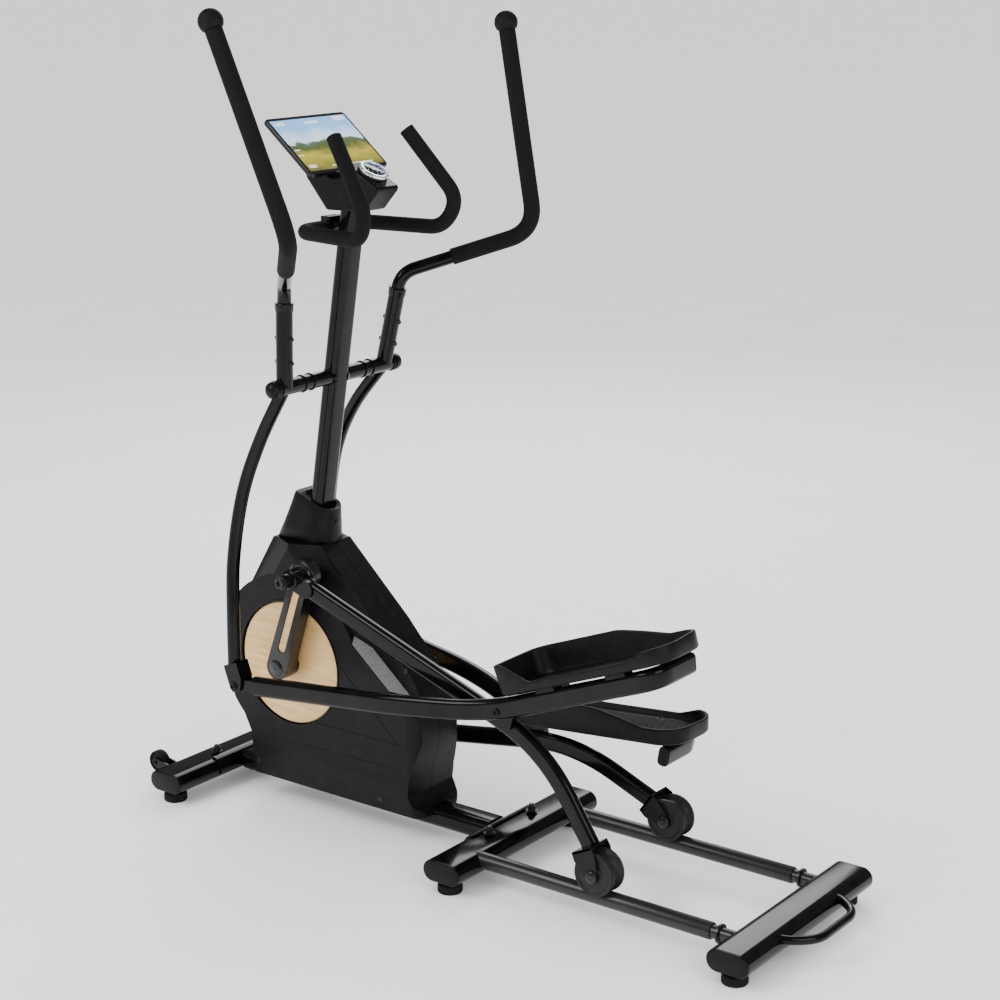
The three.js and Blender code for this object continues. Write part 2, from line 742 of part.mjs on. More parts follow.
// ---------------------------------------------------------------- pedal bar and footplate
// Local frame: the front pivot is the Y axis and the rod's pivot lies at x = PEDAL_PIVOT.onBar.
const BAR_JOG = [410, 1];
const BAR_BEND = [590, -6];
const BAR_REAR = [970, 96];
const BAR_SLOPE = Math.atan2(BAR_REAR[1] - BAR_BEND[1], BAR_REAR[0] - BAR_BEND[0]);

function pedalBar(sign) {
  const at = ([x, z], y) => v3(x, sign * y, z);
  const corners = [
    at([44, 0], BAR.frontY),
    at(BAR_JOG, BAR.frontY),
    at(BAR_BEND, BAR.rearY),
    at(BAR_REAR, BAR.rearY),
    at(BAR_REAR, BAR.endY),
  ];
  const tube = sweep(oval(BAR.wide, BAR.high, 11.9), bent(corners, [70, 70, 36], 3), 2);
  const y = sign * BAR.frontY;
  const eye = extrude("y", capsule(0, 0, 12, 58, 0, 14), y - 11, y + 11);
  const head = sign * (BAR.rearY + BAR.wide / 2 + 3);
  const bolt = pin(PEDAL_PIVOT.onBar, 0, 9, head - 4, head + 4, 12);
  return cut(join(tube, eye, bolt), pin(0, 0, bore(5), y - 20, y + 20));
}

// The tray's own frame: x runs up the bar's rear slope from the bend, z is square to it.
const PLATE = { from: 47, to: 437, inner: 30, outer: 182, rest: 4, floor: 7, wall: 5 };

// A tray on the sloping rear of the bar: high inner and toe walls, a low outer sill, a rounded heel.
function footplate(sign) {
  const { from, to, inner, outer, rest, floor, wall } = PLATE;
  const middle = sign * ((inner + outer) / 2);
  const width = outer - inner;
  const plan = (inset) => {
    const shape = new THREE.Shape();
    const half = width / 2 - inset;
    const heel = 50 - inset;
    const toe = 22 - inset;
    shape.absarc(to - inset - heel, half - heel, heel, 0, Math.PI / 2);
    shape.absarc(from + inset + toe, half - toe, toe, Math.PI / 2, Math.PI);
    shape.absarc(from + inset + toe, -half + toe, toe, Math.PI, Math.PI * 1.5);
    shape.absarc(to - inset - heel, -half + heel, heel, Math.PI * 1.5, Math.PI * 2);
    shape.closePath();
    return shape;
  };
  const side = outline([
    [from - 4, 0],
    [to + 4, 0],
    [to + 4, 33],
    [to - 90, 30],
    [from + 220, 60],
    [from - 4, 59],
  ]);
  const body = extrude("z", plan(0), 0, 80, { curveSegments: 4 }).intersect(extrude("y", side, -90, 90));
  const pocket = extrude("z", plan(wall), floor, 90, { curveSegments: 4 });
  const dip = extrude(
    "y",
    outline([
      [from + 30, 70],
      [from + 66, 20],
      [to - 90, 17],
      [to - 40, 34],
      [to - 36, 70],
    ]),
    Math.min(0, sign * 100),
    Math.max(0, sign * 100),
  );
  const barY = sign * BAR.rearY - middle;
  const boss = (x) => block(x - 20, x + 20, barY - 9, barY + 9, -rest, 1);
  return join(cut(body, pocket, dip), boss(from + 60), boss(to - 110))
    .translate([0, middle, BAR.high / 2 + GAP + rest])
    .rotate([0, -THREE.MathUtils.radToDeg(BAR_SLOPE), 0])
    .translate([BAR_BEND[0], 0, BAR_BEND[1]]);
}

// ---------------------------------------------------------------- crank rod and roller
// Local frame: the crank pin is the Y axis and the roller's axle lies at x = ROD.length.
const ROD_KNEE = [640, 108];
const FORK_TOP = [818, 28];
const FORK = { plate: 3.5, half: 24 };

function rod(sign) {
  const y = sign * ROD.y;
  const span = (low, high) => (sign > 0 ? [low, high] : [-high, -low]);
  const corners = [
    v3(20, y, 20 * (ROD_KNEE[1] / ROD_KNEE[0])),
    v3(ROD_KNEE[0], y, ROD_KNEE[1]),
    v3(FORK_TOP[0], sign * (ROD.y + 13), FORK_TOP[1]),
  ];
  const tube = sweep(oval(ROD.wide, ROD.high, 10.9), bent(corners, [100], 4), 2);
  const bearing = pin(0, 0, 15, ...span(CRANK.outer + 3, 170));
  const collar = extrude("y", capsule(0, 0, 18, 34, 6, 17), ...span(ROD.y - 11, ROD.y + 17));
  const [px, pz] = PEDAL_PIVOT.onRod;
  const ear = extrude(
    "y",
    outline([
      [px - 29, pz - 30],
      [px + 29, pz - 30],
      [px + 20, pz + 14],
      [px - 16, pz + 14],
    ]),
    ...span(ROD.y, BAR.rearY - BAR.wide / 2 - 2 * GAP),
  );
  return join(tube, bearing, collar, ear, fork(sign)).subtract(
    pin(ROD.length, 0, bore(8), ...span(100, 200)),
  );
}

function fork(sign) {
  const { plate, half } = FORK;
  const y = sign * RAIL.y;
  const [tx, tz] = FORK_TOP;
  const along = Math.atan2(-tz, ROD.length - tx);
  const reach = Math.hypot(ROD.length - tx, tz);
  const cheek = (low) =>
    extrude(
      "y",
      outline([
        [0, -22],
        [0, 22],
        [16, 24],
        [reach + 6, 13],
        [reach + 14, 0],
        [reach + 6, -13],
        [16, -24],
      ]),
      low,
      low + plate,
    );
  const roof = block(-2, 3, y - half - plate, y + half + plate, -23, 23);
  return join(roof, cheek(y - half - plate), cheek(y + half))
    .rotate([0, THREE.MathUtils.radToDeg(-along), 0])
    .translate([tx, 0, tz]);
}

function roller(sign) {
  const { radius, waist, half, groove } = ROLLER;
  const profile = [
    [bore(8), -half],
    [radius - 3, -half],
    [radius, -half + 3],
    [radius, -17],
  ];
  for (const h of [-12, -6, 0, 6, 12]) {
    profile.push([waist + groove - Math.sqrt(groove * groove - h * h), h]);
  }
  profile.push([radius, 17], [radius, half - 3], [radius - 3, half], [bore(8), half], [bore(8), -half]);
  const wheel = lathe(profile, 16).rotateX(Math.PI / 2);
  wheel.translate(ROD.length, sign * RAIL.y, 0);
  return solid(wheel);
}

function rollerAxle(sign) {
  const y = sign * RAIL.y;
  const face = FORK.half + FORK.plate + GAP;
  const shaft = pin(ROD.length, 0, 8, y - face - 1, y + face + 1);
  const heads = [-1, 1].map((way) => {
    const dome = lathe(
      [
        [0, 0],
        [12.5, 0],
        [10, 4.5],
        [0, 6.5],
      ],
      12,
    ).rotateX(-way * (Math.PI / 2));
    dome.translate(ROD.length, y + way * face, 0);
    return solid(dome);
  });
  return join(shaft, ...heads);
}

// ---------------------------------------------------------------- fixed handlebar and console
const FIXED_Z = 1210;

function fixedPath(sign) {
  return [
    v3(-440, 0, FIXED_Z),
    v3(-440, sign * 96, FIXED_Z),
    v3(-264, sign * 125, FIXED_Z - 1),
    v3(-238, sign * 141, 1264),
    v3(-337, sign * 108, 1393),
  ];
}

function fixedHalf(sign) {
  const { tube, sides, reaches } = FIXED_BAR;
  return sweep(circle(tube, sides), bent(fixedPath(sign), reaches));
}

function fixedHandlebar() {
  const clamp = block(-448, -380, -17, 17, FIXED_Z - 18, FIXED_Z + 33);
  const bar = join(fixedHalf(-1), fixedHalf(1), clamp);
  const behind = block(mastX(FIXED_Z) - 18, -300, -50, 50, FIXED_Z - 30, FIXED_Z + 60);
  return cut(bar, mastTube(1100, 1300, GAP), behind);
}

function fixedGrip(sign) {
  const [middle, ...rest] = fixedPath(sign);
  const start = middle.clone().setY(sign * 34);
  const tip = rest.at(-1);
  const end = tip.clone().add(tip.clone().sub(rest.at(-2)).setLength(4));
  const stations = bent([start, ...rest.slice(0, -1), end], FIXED_BAR.reaches, 3);
  const { tube, foam, sides } = FIXED_BAR;
  return sweep(ring(foam, bore(tube, sides), sides), stations);
}

const SLOPE = rad(TABLET.slope);
const DOWN = [Math.cos(SLOPE), -Math.sin(SLOPE)];
const OUT = [Math.sin(SLOPE), Math.cos(SLOPE)];
// A point beside the tablet's lower edge: s down the slope past that edge, n out of its face.
const byTablet = (s, n) => [
  TABLET.low[0] + s * DOWN[0] + n * OUT[0],
  TABLET.low[1] + s * DOWN[1] + n * OUT[1],
];

function consoleBody() {
  const back = -TABLET.thick - GAP;
  const profile = outline([
    [-428, 1246],
    [-332, 1250],
    [-297, 1290],
    [-299, 1297],
    [-377, 1339.7],
    byTablet(GAP, 8),
    byTablet(GAP, back),
    byTablet(-110, back),
    byTablet(-110, back - 4),
    [-489, 1334],
    [-479, 1304],
  ]);
  const body = extrude("y", profile, -34, 34);
  const shelf = extrude(
    "y",
    outline([byTablet(GAP, back), byTablet(-118, back), byTablet(-118, back - 4), byTablet(GAP, back - 4)]),
    -64,
    64,
  );
  return cut(join(body, shelf), mastTube(1150, MAST.top[1] + GAP, GAP));
}

function tablet() {
  const { wide, tall, thick } = TABLET;
  return extrude("z", oval(tall, wide, 9), -thick, 0, { curveSegments: 3 })
    .translate([-tall / 2, 0, 0])
    .rotate([0, TABLET.slope, 0])
    .translate([TABLET.low[0], 0, TABLET.low[1]]);
}

function consoleDial() {
  const { x, z, radius, high, slope } = DIAL;
  return extrude("z", circle(radius, 32), GAP, high)
    .rotate([0, slope, 0])
    .translate([x, 0, z]);
}

// ---------------------------------------------------------------- assembly
const machine = new THREE.Group();

function addFrame(group) {
  add(group, "main_beam", mainBeam(), "gloss");
  add(group, "front_stabilizer", frontFoot(), "gloss");
  add(group, "middle_stabilizer", footTube(MIDDLE_FOOT), "gloss");
  add(group, "rear_stabilizer", footTube(REAR_FOOT), "gloss");
  add(group, "carry_handle", carryHandle(), "gloss");
  add(group, "frame_post", framePost(), "gloss");
  add(group, "mast", mast(), "gloss");
  add(group, "rocker_axle", rockerAxle(), "gloss");
  for (const [place, foot] of [
    ["front", FRONT_FOOT],
    ["middle", MIDDLE_FOOT],
    ["rear", REAR_FOOT],
  ]) {
    for (const { name, sign } of SIDES) {
      const pad = levellingPad().translate([foot.x, sign * (foot.half - PAD_INSET), 0]);
      add(group, `${place}_${name}_foot`, pad, "rubber");
    }
  }
  for (const { name, sign } of SIDES) {
    add(group, `${name}_rail`, rail(sign), "satin");
    add(group, `${name}_transport_wheel`, transportWheel(sign), "rubber");
  }
}

function addHousing(group) {
  const { left, right } = housingShell();
  add(group, "left_housing", left, "plastic");
  add(group, "right_housing", right, "plastic");
  add(group, "mast_cover", mastCover(), "plastic");
}

function addDrive(group) {
  add(group, "crank_axle", crankAxle(), "steel");
  add(group, "drive_pulley", drivePulley(), "plastic");
  add(group, "belt", belt(), "rubber");
  add(group, "flywheel", flywheel(), "steel");
  add(group, "idler_pulley", idlerPulley(), "steel");
  add(group, "magnet_bracket", magnetBracket(), "steel");
  add(group, "servo_motor", servoMotor(), "plastic");
  for (const { name, sign } of SIDES) {
    add(group, `${name}_crank`, crank(sign), "plastic");
    add(group, `${name}_disc`, disc(sign), "wood");
  }
}

function addConsole(group) {
  add(group, "fixed_handlebar", fixedHandlebar(), "gloss");
  for (const { name, sign } of SIDES) add(group, `${name}_fixed_grip`, fixedGrip(sign), "foam");
  add(group, "console_body", consoleBody(), "plastic");
  add(group, "console_dial", consoleDial(), "silver");
  add(group, "tablet", tablet(), "glass");
}

// A group whose origin is a pivot on the machine's XZ plane, turned by an angle from X towards Z.
function pivotGroup(x, z, degrees) {
  const group = new THREE.Group();
  group.position.set(x, 0, z);
  group.rotation.y = -rad(degrees);
  machine.add(group);
  return group;
}

function addLinkage({ name, sign }) {
  const lean = ARM.lean[name];
  const arm = pivotGroup(ROCKER.x, ROCKER.z, -lean);
  add(arm, `${name}_swing_arm`, swingArm(sign), "gloss");
  add(arm, `${name}_handlebar`, handlebar(sign), "gloss");
  add(arm, `${name}_grip`, handleGrip(sign), "foam");
  add(arm, `${name}_ball_cap`, ballCap(sign), "rubber");
  add(arm, `${name}_axle_cap`, axleCap(sign), "plastic");

  const low = [ROCKER.x - ARM.length * Math.sin(rad(lean)), ROCKER.z - ARM.length * Math.cos(rad(lean))];
  const bar = pivotGroup(...low, BAR.angle[name]);
  add(bar, `${name}_pedal_bar`, pedalBar(sign), "gloss");
  add(bar, `${name}_footplate`, footplate(sign), "plastic");

  const turn = rad(CRANK.phase) + (sign > 0 ? Math.PI : 0);
  const crankPin = [CRANK.x + CRANK.radius * Math.cos(turn), CRANK.z + CRANK.radius * Math.sin(turn)];
  const link = pivotGroup(...crankPin, ROD.angle[name]);
  add(link, `${name}_rod`, rod(sign), "gloss");
  add(link, `${name}_roller`, roller(sign), "roller");
  add(link, `${name}_roller_axle`, rollerAxle(sign), "plastic");
}

addFrame(machine);
addHousing(machine);
addDrive(machine);
addConsole(machine);
SIDES.forEach(addLinkage);
machine.position.x = ORIGIN_X;

export default machine;
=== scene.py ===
import json
import math

import bmesh
import bpy
from mathutils import Matrix, Vector
from mathutils.geometry import tessellate_polygon


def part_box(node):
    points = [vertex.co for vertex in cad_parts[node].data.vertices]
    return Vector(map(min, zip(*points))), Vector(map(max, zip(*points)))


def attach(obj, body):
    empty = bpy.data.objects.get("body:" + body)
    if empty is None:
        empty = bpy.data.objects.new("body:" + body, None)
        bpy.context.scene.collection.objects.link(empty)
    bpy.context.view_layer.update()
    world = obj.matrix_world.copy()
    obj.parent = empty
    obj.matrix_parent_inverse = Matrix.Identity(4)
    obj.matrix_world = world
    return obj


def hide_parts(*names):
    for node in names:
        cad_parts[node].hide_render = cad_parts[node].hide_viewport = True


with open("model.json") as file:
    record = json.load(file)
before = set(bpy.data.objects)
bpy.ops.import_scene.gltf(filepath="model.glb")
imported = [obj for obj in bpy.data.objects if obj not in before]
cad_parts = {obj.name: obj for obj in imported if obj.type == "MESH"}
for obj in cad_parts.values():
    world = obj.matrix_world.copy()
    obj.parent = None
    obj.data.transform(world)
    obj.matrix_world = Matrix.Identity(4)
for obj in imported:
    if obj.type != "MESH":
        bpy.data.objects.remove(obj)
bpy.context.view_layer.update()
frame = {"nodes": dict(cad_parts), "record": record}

MM = 0.001
SIDES = (("left", -1), ("right", 1))
JOINTS = {j["name"]: j for j in frame["record"]["behaviour"]["joints"]}


def pivot(joint):
    """A joint's place in millimetres."""
    return Vector(JOINTS[joint]["pos_m"]) / MM


def box(node):
    """The low and high corners of a CAD node, in millimetres."""
    low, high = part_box(node)
    return Vector(low) / MM, Vector(high) / MM


def middle(node):
    low, high = box(node)
    return (low + high) / 2


# ---- driving dimensions
ROCKER = pivot("left_swing")
HUB = pivot("crank_turn")
CRANK_THROW = 219
CRANK_PHASE = math.radians(71.1)
ARM_Y, ARM_LOW_Y, ARM_LENGTH = 150, 210, 613.5
ARM_TUBE, HANDLE_TUBE, GRIP_RADIUS, BALL_RADIUS = 13.5, 13.6, 16.8, 23.6
BAR_FRONT_Y, BAR_REAR_Y, BAR_END_Y = 210, 160, 48
ROD_Y, RAIL_Y = 128.5, 146.4
RAIL_RADIUS, RAIL_END_RADIUS = 16.2, 12.5
PEDAL_PIVOT_ON_ROD = Vector((538.5, 0, 129.8))
FOOT_WIDTH, FOOT_HEIGHT, FOOT_CORNER = 86, 43, 21.4
TUBE_Z = middle("rear_stabilizer").z
HALF = 75  # half the housing's width
SPINE = 46  # half the width of the housing's rear spine
DRUM = 187
HOUSING_LOW, HOUSING_TOP = HUB.z - 264, HUB.z + 254
FIXED_BAR_Z, FIXED_TUBE, FIXED_GRIP = 1210, 11, 14.8


# ---- mesh helpers
def placed(name, data):
    """A new object in the scene."""
    item = bpy.data.objects.new(name, data)
    bpy.context.scene.collection.objects.link(item)
    return item


def unit(value):
    """A value held between 0 and 1."""
    return max(0, min(1, value))


def circle(radius, count=32):
    turns = [2 * math.pi * i / count for i in range(count)]
    return [(radius * math.cos(a), radius * math.sin(a)) for a in turns]


def rounded(width, height, radius, steps=7):
    """A rounded rectangle about the origin."""
    points = []
    for k, (sx, sy) in enumerate(((1, 1), (-1, 1), (-1, -1), (1, -1))):
        cx, cy = sx * (width / 2 - radius), sy * (height / 2 - radius)
        for i in range(steps + 1):
            a = math.pi / 2 * (k + i / steps)
            points.append((cx + radius * math.cos(a), cy + radius * math.sin(a)))
    return points


def shifted(points, x, z):
    return [(x + u, z + v) for u, v in points]


def capsule(x1, z1, r1, x2, z2, r2, steps=14):
    """The outline round two circles."""
    along = math.atan2(z2 - z1, x2 - x1)
    opening = math.acos((r1 - r2) / math.hypot(x2 - x1, z2 - z1))
    points = []
    for x, z, r, start, end in ((x1, z1, r1, opening, 2 * math.pi - opening),
                                (x2, z2, r2, -opening, opening)):
        for i in range(steps + 1):
            a = along + start + (end - start) * i / steps
            points.append((x + r * math.cos(a), z + r * math.sin(a)))
    return points


def quadratic(start, corner, end, steps):
    """Points of a curve that leaves start towards a corner and arrives at end."""
    shares = [i / steps for i in range(steps + 1)]
    return [start * (1 - t) ** 2 + corner * 2 * t * (1 - t) + end * t * t for t in shares]


def bent(corners, reaches, steps=10):
    """A path whose inner corners are rounded from each reach before to as far after."""
    corners = [Vector(c) for c in corners]
    path = [corners[0]]
    for before, corner, after, reach in zip(corners, corners[1:], corners[2:], reaches):
        start = corner + (before - corner).normalized() * reach
        end = corner + (after - corner).normalized() * reach
        path += quadratic(start, corner, end, steps)
    path.append(corners[-1])
    return path


def axes(along):
    """Three square unit axes, the first along a direction."""
    along = Vector(along).normalized()
    side = along.orthogonal().normalized()
    return along, side, along.cross(side)


def smooth_path(points, steps=8):
    """A Catmull-Rom curve through the points."""
    points = [Vector(p) for p in points]
    ends = [points[0] * 2 - points[1]] + points + [points[-1] * 2 - points[-2]]
    path = []
    for a, b, c, d in zip(ends, ends[1:], ends[2:], ends[3:]):
        for i in range(steps):
            t = i / steps
            bend = (2 * a - 5 * b + 4 * c - d) * t * t + (3 * b - a - 3 * c + d) * t ** 3
            path.append(0.5 * (2 * b + (c - a) * t + bend))
    path.append(points[-1])
    return path


class Shape:
    """A mesh under construction, in millimetres, with an optional placing matrix."""

    def __init__(self, place=None):
        self.bm = bmesh.new()
        self.place = place or Matrix()

    def at(self, place):
        self.place = place
        return self

    def loft(self, rings, loop=False):
        """Quads between rings of equal length, with flat ends unless the rings close in a loop."""
        made = [[self.bm.verts.new(self.place @ Vector(p)) for p in ring] for ring in rings]
        for a, b in zip(made, made[1:] + (made[:1] if loop else [])):
            for i in range(len(a)):
                j = (i + 1) % len(a)
                self.bm.faces.new((a[i], a[j], b[j], b[i]))
        if not loop:
            self.bm.faces.new(list(reversed(made[0])))
            self.bm.faces.new(made[-1])
        return self

    def sweep(self, path, section, up=None):
        """A section along a path. With up the section keeps upright, and without it it doesn't twist."""
        path = [Vector(p) for p in path]
        rings = []
        side = None
        for i, p in enumerate(path):
            ahead = (path[min(i + 1, len(path) - 1)] - path[max(i - 1, 0)]).normalized()
            if up is not None:
                side = ahead.cross(Vector(up)).normalized()
            elif side is None:
                side = ahead.orthogonal().normalized()
            else:
                side = (side - ahead * side.dot(ahead)).normalized()
            rise = side.cross(ahead)
            rings.append([p + side * u + rise * v for u, v in section])
        return self.loft(rings)

    def turned(self, profile, origin, axis, count=40):
        """A lathed body from (radius, height) points, about an axis through an origin."""
        axis, side, other = axes(axis)
        rings = []
        for r, h in profile:
            centre = Vector(origin) + axis * h
            radius = max(r, 0.02)
            rings.append([centre + side * (radius * u) + other * (radius * v) for u, v in circle(1, count)])
        return self.loft(rings)

    def ring(self, profile, origin, axis, count=48):
        """A lathed ring from a closed profile of (radius, height) points."""
        axis, side, other = axes(axis)
        rings = []
        for u, v in circle(1, count):
            rings.append([Vector(origin) + axis * h + (side * u + other * v) * r for r, h in profile])
        return self.loft(rings, loop=True)

    def plate(self, loops, axis, low, high):
        """A flat plate with holes. Loops are (x, z) points for Y, (y, z) for X and (x, y) for Z."""
        def spread(p, depth):
            return {"x": (depth, p[0], p[1]), "y": (p[0], depth, p[1]), "z": (p[0], p[1], depth)}[axis]
        flat = [[Vector((p[0], p[1], 0)) for p in loop] for loop in loops]
        bottom = [self.bm.verts.new(self.place @ Vector(spread(p, low))) for loop in loops for p in loop]
        top = [self.bm.verts.new(self.place @ Vector(spread(p, high))) for loop in loops for p in loop]
        for a, b, c in tessellate_polygon(flat):
            self.bm.faces.new((bottom[a], bottom[b], bottom[c]))
            self.bm.faces.new((top[c], top[b], top[a]))
        start = 0
        for loop in loops:
            for i in range(len(loop)):
                a, b = start + i, start + (i + 1) % len(loop)
                self.bm.faces.new((bottom[a], bottom[b], top[b], top[a]))
            start += len(loop)
        return self

    def block(self, low, high):
        (x1, y1, z1), (x2, y2, z2) = low, high
        return self.plate([[(x1, z1), (x2, z1), (x2, z2), (x1, z2)]], "y", y1, y2)

    def bolt(self, origin, axis, radius=6, height=5):
        """A cap screw with a washer and a socket."""
        washer = [(radius * 1.45, 0), (radius * 1.45, 1.3)]
        head = [(radius, 1.6), (radius, height), (radius * 0.82, height + 1.2)]
        socket = [(radius * 0.5, height + 1.2), (radius * 0.46, height - 1.6)]
        return self.turned(washer + head + socket, origin, axis, 24)

    def finish(self, name, material, body="frame", node=None, slot=None, bevel=0, angle=32):
        """Makes the piece in metres. It rides on a body and may stand for a CAD node."""
        bmesh.ops.recalc_face_normals(self.bm, faces=self.bm.faces)
        self.bm.transform(Matrix.Scale(MM, 4))
        mesh = bpy.data.meshes.new(name)
        self.bm.to_mesh(mesh)
        self.bm.free()
        piece = placed(name, mesh)
        mesh.materials.append(material)
        mesh.shade_smooth()
        mesh.set_sharp_from_angle(angle=math.radians(angle))
        if bevel:
            soften(piece, bevel)
        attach(piece, body)
        if node:
            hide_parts(node)
        return piece


def soften(piece, width, segments=2):
    """Rounds a piece's sharp edges."""
    bevel = piece.modifiers.new("edges", "BEVEL")
    bevel.width = width * MM
    bevel.segments = segments
    bevel.limit_method = "ANGLE"
    bevel.angle_limit = math.radians(38)
    bevel.harden_normals = True


def pivot_frame(origin, degrees):
    """A frame turned from X towards Z about a pivot."""
    return Matrix.Translation(origin) @ Matrix.Rotation(-math.radians(degrees), 4, "Y")


class Paint:
    """A Principled material. Its slot argument is not used."""

    def __init__(self, name, slot, coordinates="Object"):
        self.made = bpy.data.materials.new(name)
        self.made.use_nodes = True
        self.shader = self.made.node_tree.nodes["Principled BSDF"]
        kind = "UVMap" if coordinates == "UV" else "TexCoord"
        self.place = self.node(kind).outputs[coordinates]

    def node(self, kind, **inputs):
        """A node with values set on its inputs, whose names have _ for spaces."""
        node = self.made.node_tree.nodes.new("ShaderNode" + kind)
        for name, value in inputs.items():
            node.inputs[name.replace("_", " ")].default_value = value
        return node

    def link(self, output, target):
        self.made.node_tree.links.new(output, target)

    def noise(self, place=None, **inputs):
        node = self.node("TexNoise", **inputs)
        self.link(place or self.place, node.inputs["Vector"])
        return node.outputs["Fac"]

    def ramp(self, factor, stops):
        """Colours between (position, colour) stops, led by a factor."""
        node = self.node("ValToRGB")
        elements = node.color_ramp.elements
        for element, (position, colour) in zip(elements, (stops[0], stops[-1])):
            element.position = position
            element.color = (*colour, 1)
        for position, colour in stops[1:-1]:
            elements.new(position).color = (*colour, 1)
        self.link(factor, node.inputs["Fac"])
        self.link(node.outputs["Color"], self.shader.inputs["Base Color"])
        return node.outputs["Color"]

    def bump(self, height, strength, distance):
        node = self.node("Bump", Strength=strength, Distance=distance)
        self.link(height, node.inputs["Height"])
        self.link(node.outputs["Normal"], self.shader.inputs["Normal"])

    def set(self, **inputs):
        for name, value in inputs.items():
            self.shader.inputs[name.replace("_", " ")].default_value = value


def surface(name, slot, colour, roughness, metallic=0.0, coat=0.0, mottle=(0.12, 60), grain=None, spread=0.06,
            accent=None):
    """A painted, moulded or rubbery surface. Mottle and grain are (amount, scale) pairs, spread is how
    uneven the gloss is, and accent is a second colour."""
    uneven, mottle_scale = mottle
    paint = Paint(name, slot)
    paint.set(Metallic=metallic, Coat_Weight=coat, Coat_Roughness=0.08,
              Specular_IOR_Level=0.5 if metallic else 0.16)
    dark = [c * (1 - uneven) for c in colour]
    light = accent or [min(1, c * (1 + uneven) + 0.002) for c in colour]
    cloud = paint.noise(Scale=mottle_scale, Detail=6)
    paint.ramp(cloud, ((0.52 if accent else 0.35, dark), (0.72 if accent else 0.7, light)))
    gloss = paint.node("MapRange", To_Min=max(0.02, roughness - spread), To_Max=min(1, roughness + spread))
    paint.link(paint.noise(Scale=14, Detail=4), gloss.inputs["Value"])
    paint.link(gloss.outputs["Result"], paint.shader.inputs["Roughness"])
    if grain:
        strength, grain_scale = grain
        paint.bump(paint.noise(Scale=grain_scale, Detail=3), strength, 0.0006)
    return paint.made


def wood():
    """Pale birch with a slanting grain."""
    paint = Paint("birch", "disc_wood")
    paint.set(Roughness=0.42, Coat_Weight=0.15)
    stretch = paint.node("Mapping", Scale=(4, 34, 40), Rotation=(0, math.radians(-28), 0))
    paint.link(paint.place, stretch.inputs["Vector"])
    grain = paint.noise(stretch.outputs["Vector"], Scale=3.5, Detail=9, Distortion=0.6)
    paint.ramp(grain, ((0.28, (0.58, 0.34, 0.12)), (0.72, (0.76, 0.5, 0.22))))
    paint.bump(grain, 0.12, 0.0004)
    return paint.made


def landscape():
    """The tablet's picture: sky over hills and a field, across the face's own u and v."""
    paint = Paint("screen_picture", "screen", "UV")
    paint.set(Roughness=0.12, Emission_Strength=0.75)
    split = paint.node("SeparateXYZ")
    paint.link(paint.place, split.inputs["Vector"])
    lift = paint.node("Math")
    lift.operation = "MULTIPLY_ADD"
    lift.inputs[1].default_value = 0.34
    paint.link(paint.noise(Scale=5, Detail=7), lift.inputs[0])
    paint.link(split.outputs["Y"], lift.inputs[2])
    field = ((0.12, (0.02, 0.03, 0.02)), (0.3, (0.16, 0.15, 0.02)), (0.46, (0.33, 0.27, 0.03)))
    hills = ((0.6, (0.05, 0.07, 0.015)), (0.69, (0.05, 0.09, 0.06)))
    sky = ((0.73, (0.5, 0.62, 0.72)), (0.95, (0.16, 0.36, 0.62)))
    paint.link(paint.ramp(lift.outputs["Value"], field + hills + sky), paint.shader.inputs["Emission Color"])
    return paint.made


GLOSS = surface("gloss_black_paint", "gloss_frame", (0.0014, 0.0014, 0.0017), 0.13, coat=0.08,
                mottle=(0.2, 30), grain=(0.02, 300), spread=0.03)
SATIN = surface("satin_rail_paint", "satin_rail", (0.011, 0.0112, 0.0125), 0.34, 0.2, 0.1,
                mottle=(0.15, 40), grain=(0.05, 700))
HOUSING = surface("housing_plastic", "housing", (0.0022, 0.0023, 0.0028), 0.42, mottle=(0.15, 50),
                  grain=(0.22, 1400))
PLASTIC = surface("moulded_plastic", "dark_plastic", (0.0022, 0.0022, 0.0026), 0.36, mottle=(0.15, 50),
                  grain=(0.14, 1200))
TREAD = surface("tread_plastic", "tread", (0.0028, 0.0028, 0.0032), 0.44, mottle=(0.2, 60),
                grain=(0.25, 1100))
CRANK_BLACK = surface("crank_satin_black", "crank_black", (0.0024, 0.0024, 0.0028), 0.3, 0.1, 0.1,
                      mottle=(0.2, 50), grain=(0.05, 900))
URETHANE = surface("roller_urethane", "roller", (0.014, 0.014, 0.0155), 0.4, grain=(0.08, 900))
FOAM = surface("grip_foam", "foam", (0.0042, 0.0042, 0.005), 0.82, mottle=(0.3, 900), grain=(0.6, 1600),
               spread=0.05, accent=(0.015, 0.015, 0.017))
RUBBER = surface("matt_rubber", "rubber", (0.0035, 0.0035, 0.004), 0.66, mottle=(0.2, 80), grain=(0.2, 900))
STEEL = surface("bare_steel", "bare_steel", (0.5, 0.51, 0.53), 0.3, 1.0, mottle=(0.1, 200),
                grain=(0.05, 1500))
BOLT = surface("black_bolt_steel", "dark_plastic", (0.02, 0.02, 0.022), 0.28, 0.6, mottle=(0.2, 200),
               grain=(0.05, 900))
SILVER = surface("silver_trim", "silver", (0.62, 0.63, 0.66), 0.22, 0.9, 0.2, mottle=(0.08, 100),
                 grain=(0.02, 900))
ACCENT = surface("textured_grey_trim", "silver", (0.2, 0.203, 0.215), 0.5, 0.2, mottle=(0.35, 700),
                 grain=(0.5, 900), spread=0.05, accent=(0.38, 0.385, 0.4))
BLUE = surface("blue_ring", "silver", (0.03, 0.16, 0.42), 0.25, 0.2, 0.3, mottle=(0.1, 200),
               grain=(0.02, 900))
BEZEL = surface("black_glass_bezel", "screen", (0.006, 0.006, 0.007), 0.08, coat=0.4, mottle=(0.2, 60),
                grain=(0.01, 300), spread=0.02)
